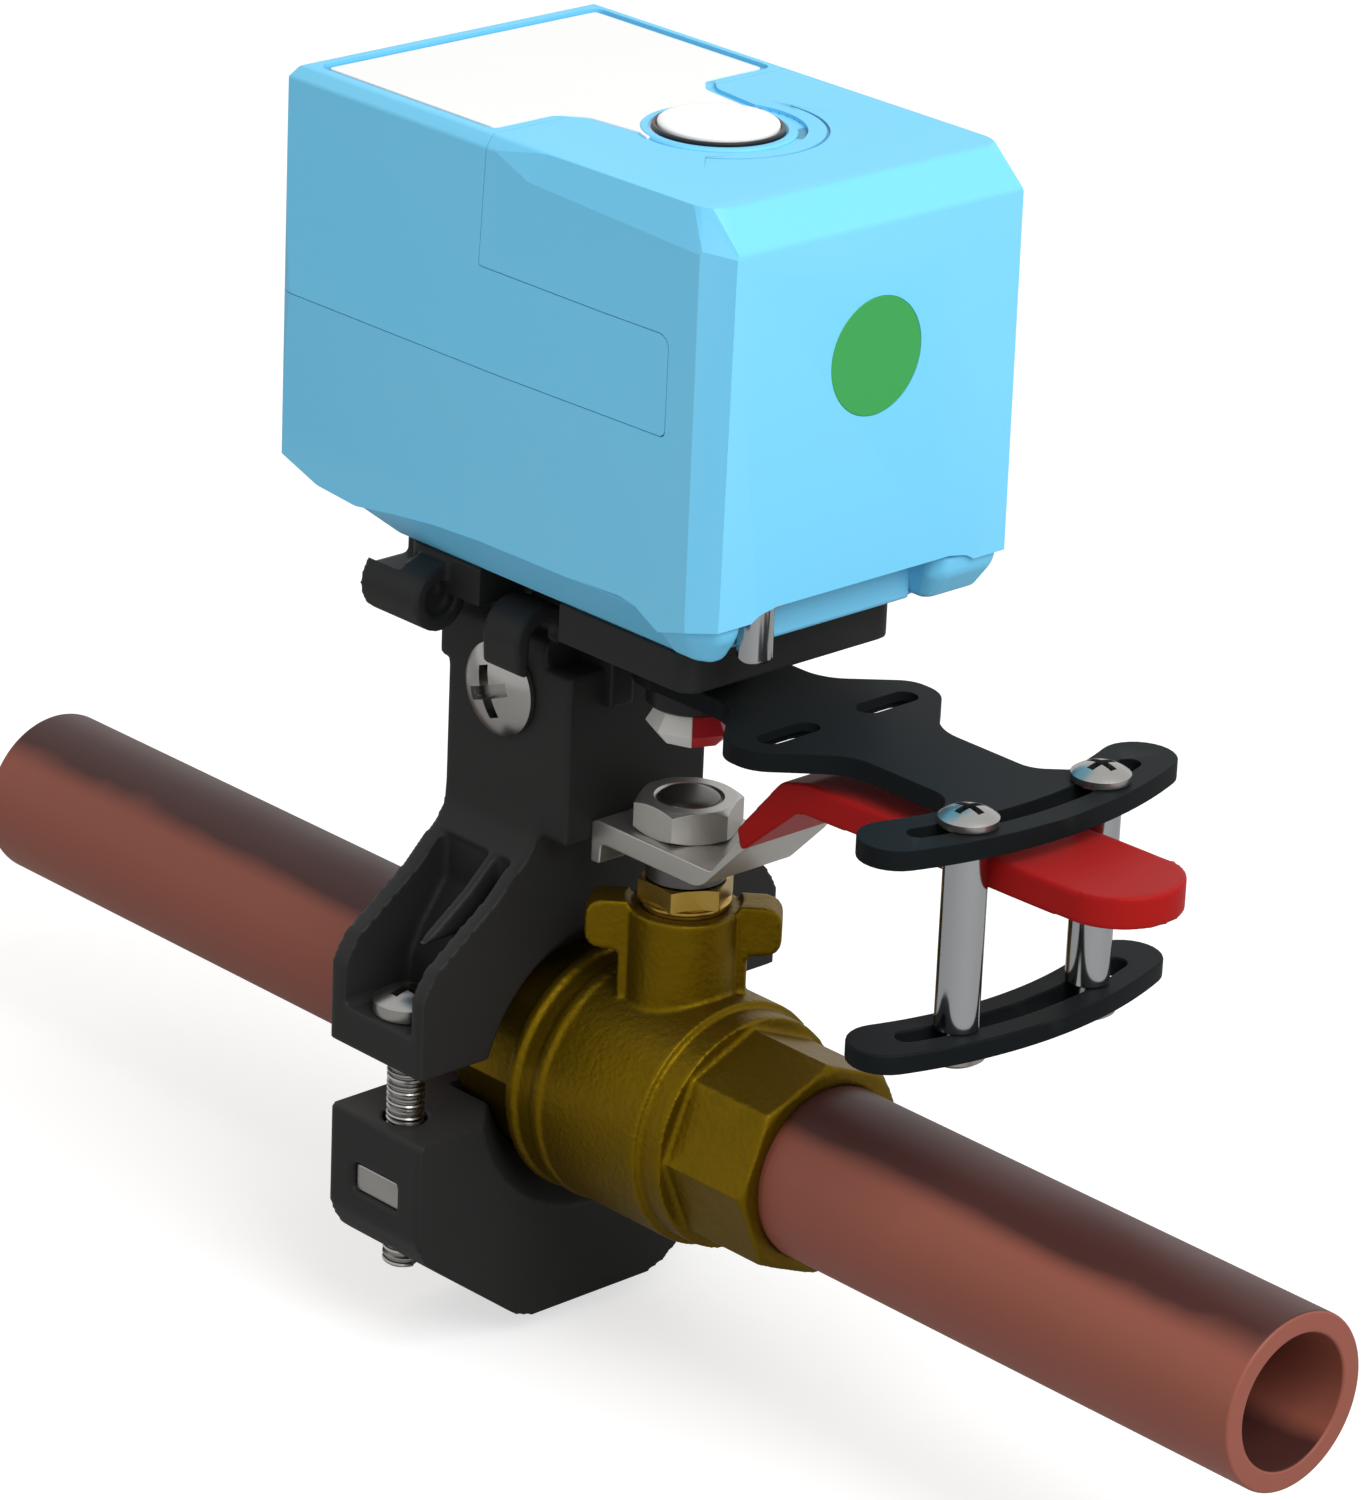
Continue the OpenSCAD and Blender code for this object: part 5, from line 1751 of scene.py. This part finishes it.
    def core(self) -> Item:
        """Inset lower part that stands on the base block.

        Returns:
            A closed solid.
        """
        side = [(-43, self.low), (20.5, self.low), (24.4, 83.4), (27.0, 84.0), (27.0, 94.0),
                (-52.0, 94.0), (-52.0, 88.0)]
        piece = prism("core", rounded(side, [1, 1, 1, 0.8, 0, 0, 1], 5), Axis.Y, -30, 30)
        plan = [(-53, -29.4), (24.2, -29.4), (24.2, -15.5), (28, -15.5)]
        cross = [(19.8, self.low), (29.2, 90.2), (29.2, 95.0)]
        tools = [prism("plan", symmetric(plan, [2, 3, 2, 1], flip=1), Axis.Z, 80, 96),
                 prism("cross", symmetric(cross, [0, 0, 0]), Axis.X, -54, 29)]
        return combine(piece, tools, "INTERSECT")

    def bevels(self, side: int) -> dict[str, Plane]:
        """Planes that shape one front corner, by name.

        Args:
            side: Which side of the part, 1 or -1.

        Returns:
            A point and a unit normal of each plane.
        """
        corners = {
            "slope": ((-3.6, 28.2, self.top), (26.0, 27.9, self.top), (10.0, 29.62, 144.9)),
            "start": ((-3.85, 28.2, self.top), (-7.1, 29.62, 145.6), (-14.5, 29.52, 148.2)),
            "flat": ((-10, 31.0, 116.5), (28.4, 29.64, 145.0), (28.8, 30.0, 91.5)),
            "upright": ((28.4, 29.64, 145.0), (28.8, 30.0, 91.5), (33.5, 27.7, 117.0)),
            "turn": ((28.9, 29.6, 144.3), (24.6, 28.0, self.top), (26.9, 27.5, self.top)),
            "corner": ((28.9, 29.6, 144.3), (33.5, 27.1, 144.8), (27.3, 27.2, self.top)),
            "lead": ((33.5, 27.1, 144.8), (28.0, 26.3, self.top), (28.75, 24.2, self.top)),
        }
        return {name: facet(*((x, side * y, z) for x, y, z in points))
                for name, points in corners.items()}

    def shell(self) -> Item:
        """Outer form of both housing parts in one.

        Returns:
            A closed solid.
        """
        form = prism("shell", self.plan(0), Axis.Z, self.low, self.top)
        behind, ahead = self.rear - 1, self.front + 1
        combine(form, [prism("side", self.side(), Axis.Y, -self.half - 1, self.half + 1),
                       prism("section", self.section(), Axis.X, behind, ahead),
                       prism("face", self.face(), Axis.X, behind, ahead)], "INTERSECT")
        for side in (-1, 1):
            near, far = sorted((side * 15, side * 40))
            plane = self.bevels(side)
            cut(form, outside((-20, near, 130), (40, far, 152), plane["slope"], plane["start"]))
            for name in ("flat", "upright", "turn", "corner", "lead"):
                start = -12 if name == "flat" else 20
                cut(form, outside((start, near, 80), (40, far, 152), plane[name]))
        soften(form, 0.8, 3, 17)
        return fuse(form, self.core(), self.cup(1), self.cup(-1))

    def cavity(self) -> list[Item]:
        """Cutters that hollow the form.

        Returns:
            The cutters.
        """
        h, w = self.top - self.wall, 27.0
        upper = prism("hollow", self.plan(self.wall), Axis.Z, 93, h)
        cross = [(-w, 90), (w, 90), (w, h - 4.5), (w - 3, h), (3 - w, h), (-w, h - 4.5)]
        combine(upper, [prism("cross", cross, Axis.X, self.rear, self.front)], "INTERSECT")
        return [upper, box("throat", (-48, -19.6, 89.5), (23.0, 19.6, 93.01)),
                box("mouth", (-41, -17.2, self.low - 1), (19.4, 17.2, 90))]

    def region(self, grow: float) -> Item:
        """Region of the rear cover, seen from the side.

        Args:
            grow: How much larger it is made on every side.

        Returns:
            A closed solid.
        """
        g, behind, over = grow, self.rear - 2, self.top + 2
        corners = [(behind, self.part - g), (23.3 + g, self.part - g), (23.3 + g, 131.3 + g),
                   (-15.6 + g, 131.3 + g), (-15.6 + g, over), (behind, over)]
        return prism("region", rounded(corners, [0, 1.0, 2.0, 0.6, 0, 0], 6), Axis.Y,
                     -self.half - 2, self.half + 2)

    def panel(self, grow: float) -> list[Point]:
        """Outline of the label panel.

        Args:
            grow: How much larger it is made on every side.

        Returns:
            The outline.
        """
        g, neck = grow, 10.6 + grow
        half = [(-54.5 - g, -26.0 - g), (-18.2 + g, -26.0 - g), (-18.2 + g, -14.8 - g * 0.6),
                (-14.8 + g, -neck - 1.2), (-4.0, -neck)]
        return symmetric(half, [1.0 + g, 0.8 + g, 2.0, 3.0, 1.0], 6, 1)

    def build(self) -> None:
        """Makes and dresses the housing."""
        top, over, form = self.top, self.top + 2, self.shell()
        cut(form, *self.cavity())
        tray = prism("tray", self.panel(0.9), Axis.Z, top - self.tray, over)
        fuse(tray, rod("ring", 12.6, Axis.Z, top - self.tray, over, segments=96))
        groove = lathe("groove", [(15.2, top - 0.3), (15.7, top - 0.3), (15.7, top + 1),
                                  (15.2, top + 1)], Axis.Z, segments=144)
        fan = [(2, -6), (24, -22), (40, 0), (24, 26), (-3, 26), (0, 4)]
        combine(groove, [prism("fan", fan, Axis.Z, top - 1, over)], "INTERSECT")
        cut(form, tray, groove)
        bead = [(self.seat, top - 1.2), (11.2, top - 1.2), (11.2, top - 0.35), (10.9, top - 0.05),
                (9.9, top - 0.05), (self.seat, top - 0.4)]
        fuse(form, lathe("bead", bead, Axis.Z, segments=96))
        cut(form, rod("button", self.seat, Axis.Z, top - 6, over, segments=96))
        form.name = "housing_front"
        cover = link("housing_rear_cover", form.data.copy())
        combine(cover, [self.region(-self.gap)], "INTERSECT")
        cut(form, self.region(0.0),
            rod("inlet", 4.4, Axis.X, self.rear - 1, self.rear + 6, self.inlet_at),
            rod("badge", self.badge, Axis.X, self.front - 0.6, self.front + 1, (0, self.badge_z),
                segments=96),
            rod("pin", 3.0, Axis.Z, 80, 100, self.pin_at))
        crisp = [self.bevels(side)[name][1] for side in (-1, 1) for name in ("slope", "start")]
        for piece, source in ((form, "front_housing"), (cover, "rear_cover")):
            self.fitter.fit(piece, HOUSING_BLUE, Body.ROOT, source, angle=28, crisp=crisp)
        self.face_parts()

    def face_parts(self) -> None:
        """Panel, badge, button with its ring, and the release pin."""
        r, t, f, b = self.button, self.top, self.front, self.badge
        label = prism("label_panel", self.panel(-0.25), Axis.Z, t - 0.6, t - 0.2)
        fuse(label, rod("round", 11.6, Axis.Z, t - 0.6, t - 0.2, segments=96))
        combine(label, [box("keep", (-60, -30, t - 1), (-2.5, 30, t + 1))], "INTERSECT")
        cut(label, rod("hole", self.seat + 0.02, Axis.Z, t - 2, t + 1, segments=96))
        soften(label, 0.12, 2)
        self.fitter.fit(label, PANEL_WHITE, Body.ROOT, "top_panel")
        badge = [(0, f - 0.6), (b, f - 0.6), (b, f - 0.12), (b - 0.15, f), (0, f)]
        self.fitter.fit(lathe("round_badge", badge, Axis.X, (0, self.badge_z), 128), BADGE_GREEN,
                        Body.ROOT, "front_badge")
        cap = [(0, t - 6.3), (3, t - 6.3), (3, t - 4.3), (r + 1.6, t - 4.3), (r + 1.6, t - 2.7),
               (r, t - 2.7), (r, t + 0.55), (r - 0.1, t + 0.8), (r - 0.4, t + 1.02),
               (r - 0.9, t + 1.12), (r - 3.5, t + 1.19), (0, t + 1.2)]
        self.fitter.fit(lathe("button_moulded", cap, Axis.Z, segments=128), BUTTON_WHITE,
                        Body.BUTTON, "button_cap", angle=40)
        ring = [(r + 0.08, t - 2.6), (r + 0.8, t - 2.6), (r + 0.8, t + 0.2), (r + 0.6, t + 0.4),
                (r + 0.25, t + 0.4), (r + 0.08, t + 0.25)]
        self.fitter.fit(lathe("button_ring_moulded", ring, Axis.Z, segments=128), TRIM_BLACK,
                        Body.ROOT, "button_ring", angle=40)
        pin = [(0, 81.6), (1.7, 81.6), (2.3, 81.8), (2.6, 82.3), (2.6, 103.6), (3.6, 103.7),
               (3.6, 106.2), (3.4, 106.4), (0, 106.4)]
        self.fitter.fit(lathe("release_pin_turned", pin, Axis.Z, self.pin_at, 64), POST_CHROME,
                        Body.RELEASE, "release_pin", angle=40)


@dataclass
class TurningArm(Assembly):
    """Arm plate, lower bar, posts, screws, hub and pointer.

    Args:
        radius: Arc on which the posts stand.
        half: Half width of the curved bars.
        sweep: Half angle of the bars, degrees.
        slot: Half width of the slots in the bars.
        slot_sweep: Half angle of the slots, degrees.
        post_x: Place of the posts.
        post_y: Half distance between the posts.
        post: Radius of the posts.
        low: Underside of the arm plate.
        bar: Underside of the lower bar.
        thick: Thickness of both.
        hub: Radius of the hub's seat.
        lobe_slot: Middle of a short slot in the plate, as (x, y).
    """

    radius: float = 70.0
    half: float = 5.5
    sweep: float = 19.9
    slot: float = 1.7
    slot_sweep: float = 17.2
    post_x: float = 68.7823
    post_y: float = 13.0
    post: float = 3.2
    low: float = 67.3
    bar: float = 36.9
    thick: float = 3.0
    hub: float = 6.6
    lobe_slot: Point = (29.6, 9.7)

    def curve(self, half: float, sweep: float) -> list[Point]:
        """Outline of a curved bar with round ends.

        Args:
            half: Half width of the bar.
            sweep: Half angle of the bar, degrees.

        Returns:
            The outline.
        """
        turn = math.radians(sweep)
        x, y = self.radius * math.cos(turn), self.radius * math.sin(turn)
        return (arc((0, 0), self.radius + half, -sweep, sweep, 28)
                + arc((x, y), half, sweep, sweep + 180, 14)[1:-1]
                + arc((0, 0), self.radius - half, sweep, -sweep, 28)
                + arc((x, -y), half, 180 - sweep, 360 - sweep, 14)[1:-1])

    def plate_outline(self) -> list[Point]:
        """Outline of the wide part of the arm plate."""
        half = [(0, -9.0), (17.1, -9.0), (25.8, -18.9), (31.7, -18.9), (41.4, -8.4), (59.9, -8.4),
                (64.5, -14.0)]
        return symmetric(half, [0, 8, 5, 6, 9, 5, 0], 7, 1)

    def build(self) -> None:
        """Makes and dresses the arm."""
        low, high = self.low, self.low + self.thick
        bar, slot = self.curve(self.half, self.sweep), self.curve(self.slot, self.slot_sweep)
        plate = prism("arm_plate_cut", self.plate_outline(), Axis.Z, low, high)
        fuse(plate, rod("boss", 9.2, Axis.Z, low, high, segments=96),
             prism("head", bar, Axis.Z, low, high))
        tools = [prism("slot", slot, Axis.Z, low - 1, high + 1),
                 rod("hole", self.hub, Axis.Z, low - 1, high + 1)]
        for side in (-1, 1):
            x, y = self.lobe_slot[0], side * self.lobe_slot[1]
            for wide, start, end in ((2.0, low, high + 1), (3.3, low - 1, low + 1.5)):
                reach = 3.5 + wide
                short = [(x - wide, y - reach), (x + wide, y - reach), (x + wide, y + reach),
                         (x - wide, y + reach)]
                tools.append(prism("slot", rounded(short, wide - 0.01, 6), Axis.Z, start, end))
        cut(plate, *tools)
        lower = prism("arm_lower_bar", bar, Axis.Z, self.bar, self.bar + self.thick)
        cut(lower, prism("slot", slot, Axis.Z, self.bar - 1, self.bar + 5))
        for piece, source in ((plate, "arm_plate"), (lower, "lower_bar")):
            soften(piece, 0.35, 3, 50)
            self.fitter.fit(piece, ARM_BLACK, Body.ARM, source)
        self.posts()
        self.pointer()

    def posts(self) -> None:
        """Two polished posts and four cross-headed screws."""
        low, high, r, zinc = self.bar + self.thick, self.low, self.post, self.paint(ZINC)
        post = lathe("arm_posts_turned", [(0, low), (r - 0.25, low), (r, low + 0.25),
                                          (r, high - 0.25), (r - 0.25, high), (0, high)],
                     Axis.Z, segments=64)
        step = (0, 2 * self.post_y, 0)
        self.pattern.pair(post, (self.post_x, -self.post_y, 0), step, self.paint(POST_CHROME))
        self.fitter.fit(post, POST_CHROME, Body.ARM, "arm_posts", angle=40)
        above, below = (pan_screw(name, 4.3, 2.7, 1.6, self.thick + 0.6)
                        for name in ("above", "below"))
        self.pattern.pair(above, (self.post_x, -self.post_y, high + self.thick), step, zinc)
        below.data.transform(Matrix.Rotation(math.pi, 4, "X"))
        self.pattern.pair(below, (self.post_x, -self.post_y, self.bar), step, zinc)
        self.fitter.fit(join("arm_screw_set", [above, below]), ZINC, Body.ARM, "arm_screws")

    def pointer(self) -> None:
        """Hub and the two-coloured eight-sided pointer."""
        r, low, high, top = 7.0, 63.4, self.low + self.thick, 74.6
        hub = [(5.0, low), (r - 0.4, low), (r, low + 0.4), (r, self.low), (self.hub, self.low),
               (self.hub, high), (r, high), (r, top - 0.4), (r - 0.4, top), (5.0, top)]
        self.fitter.fit(lathe("arm_hub_turned", hub, Axis.Z, segments=72), HUB_BLACK, Body.ARM,
                        "arm_hub", angle=35)
        turns = [math.pi * k / 4 for k in range(8)]
        slim, wide = ([(r * math.cos(a), r * math.sin(a)) for a in turns] for r in (5.0, 6.9))
        bottom, middle = 58.0, 60.2
        for name, source, finish, turn in (
                ("pointer_open_half", "indicator_white", POINTER_WHITE, 136.3),
                ("pointer_shut_half", "indicator_red", POINTER_RED, -43.7)):
            body = between(name, [(*p, bottom) for p in slim], [(*p, middle) for p in wide])
            fuse(body, between("cap", [(*p, middle) for p in wide], [(*p, low) for p in slim]))
            keep = box("keep", (-8, 0, bottom - 1), (8, 8, low + 0.6))
            keep.data.transform(Matrix.Rotation(math.radians(turn), 4, "Z"))
            combine(body, [keep], "INTERSECT")
            cut(body, rod("hole", 3.0, Axis.Z, bottom + 0.4, low + 0.6, segments=48))
            soften(body, 0.14, 2, 20)
            self.fitter.fit(body, finish, Body.ARM, source)


INNER_NODES: dict[str, Finish] = {
    "ball": BALL_CHROME, "seat_rings": SEAT_WHITE, "stem": STEM_STEEL,
    "stem_packing": SEAT_WHITE, "circuit_board": BOARD_GREEN, "board_posts": BRIGHT_BRASS,
    "tact_switch": TRIM_BLACK, "radio_module": MODULE_METAL, "gearmotor": MOTOR_STEEL,
    "drive_pinion": BRIGHT_BRASS, "idler_gear": GEAR_CREAM, "idler_axle": STEM_STEEL,
    "output_gear": GEAR_CREAM, "output_shaft": STEM_STEEL, "gear_plates": MOTOR_STEEL,
    "shaft_bushes": BUSH_BRONZE, "housing_screws": ZINC, "power_inlet": TRIM_BLACK,
    "pin_guide": BUSH_BRONZE,
}


def main() -> None:
    """Builds the dressed part and its studio."""
    logging.basicConfig(level=logging.INFO, format="%(name)s: %(message)s")
    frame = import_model()
    fitter, pattern = Fitter(Workshop(), frame["nodes"]), Pattern()
    for kind in (Pipework, BallValve, Handle, Bracket, Housing, TurningArm):
        kind(fitter, pattern).build()
        LOG.info("%s done", kind.__name__)
    for source, finish in INNER_NODES.items():
        fitter.dress(source, finish)
    Studio().build()


if __name__ == "__main__":
    main()
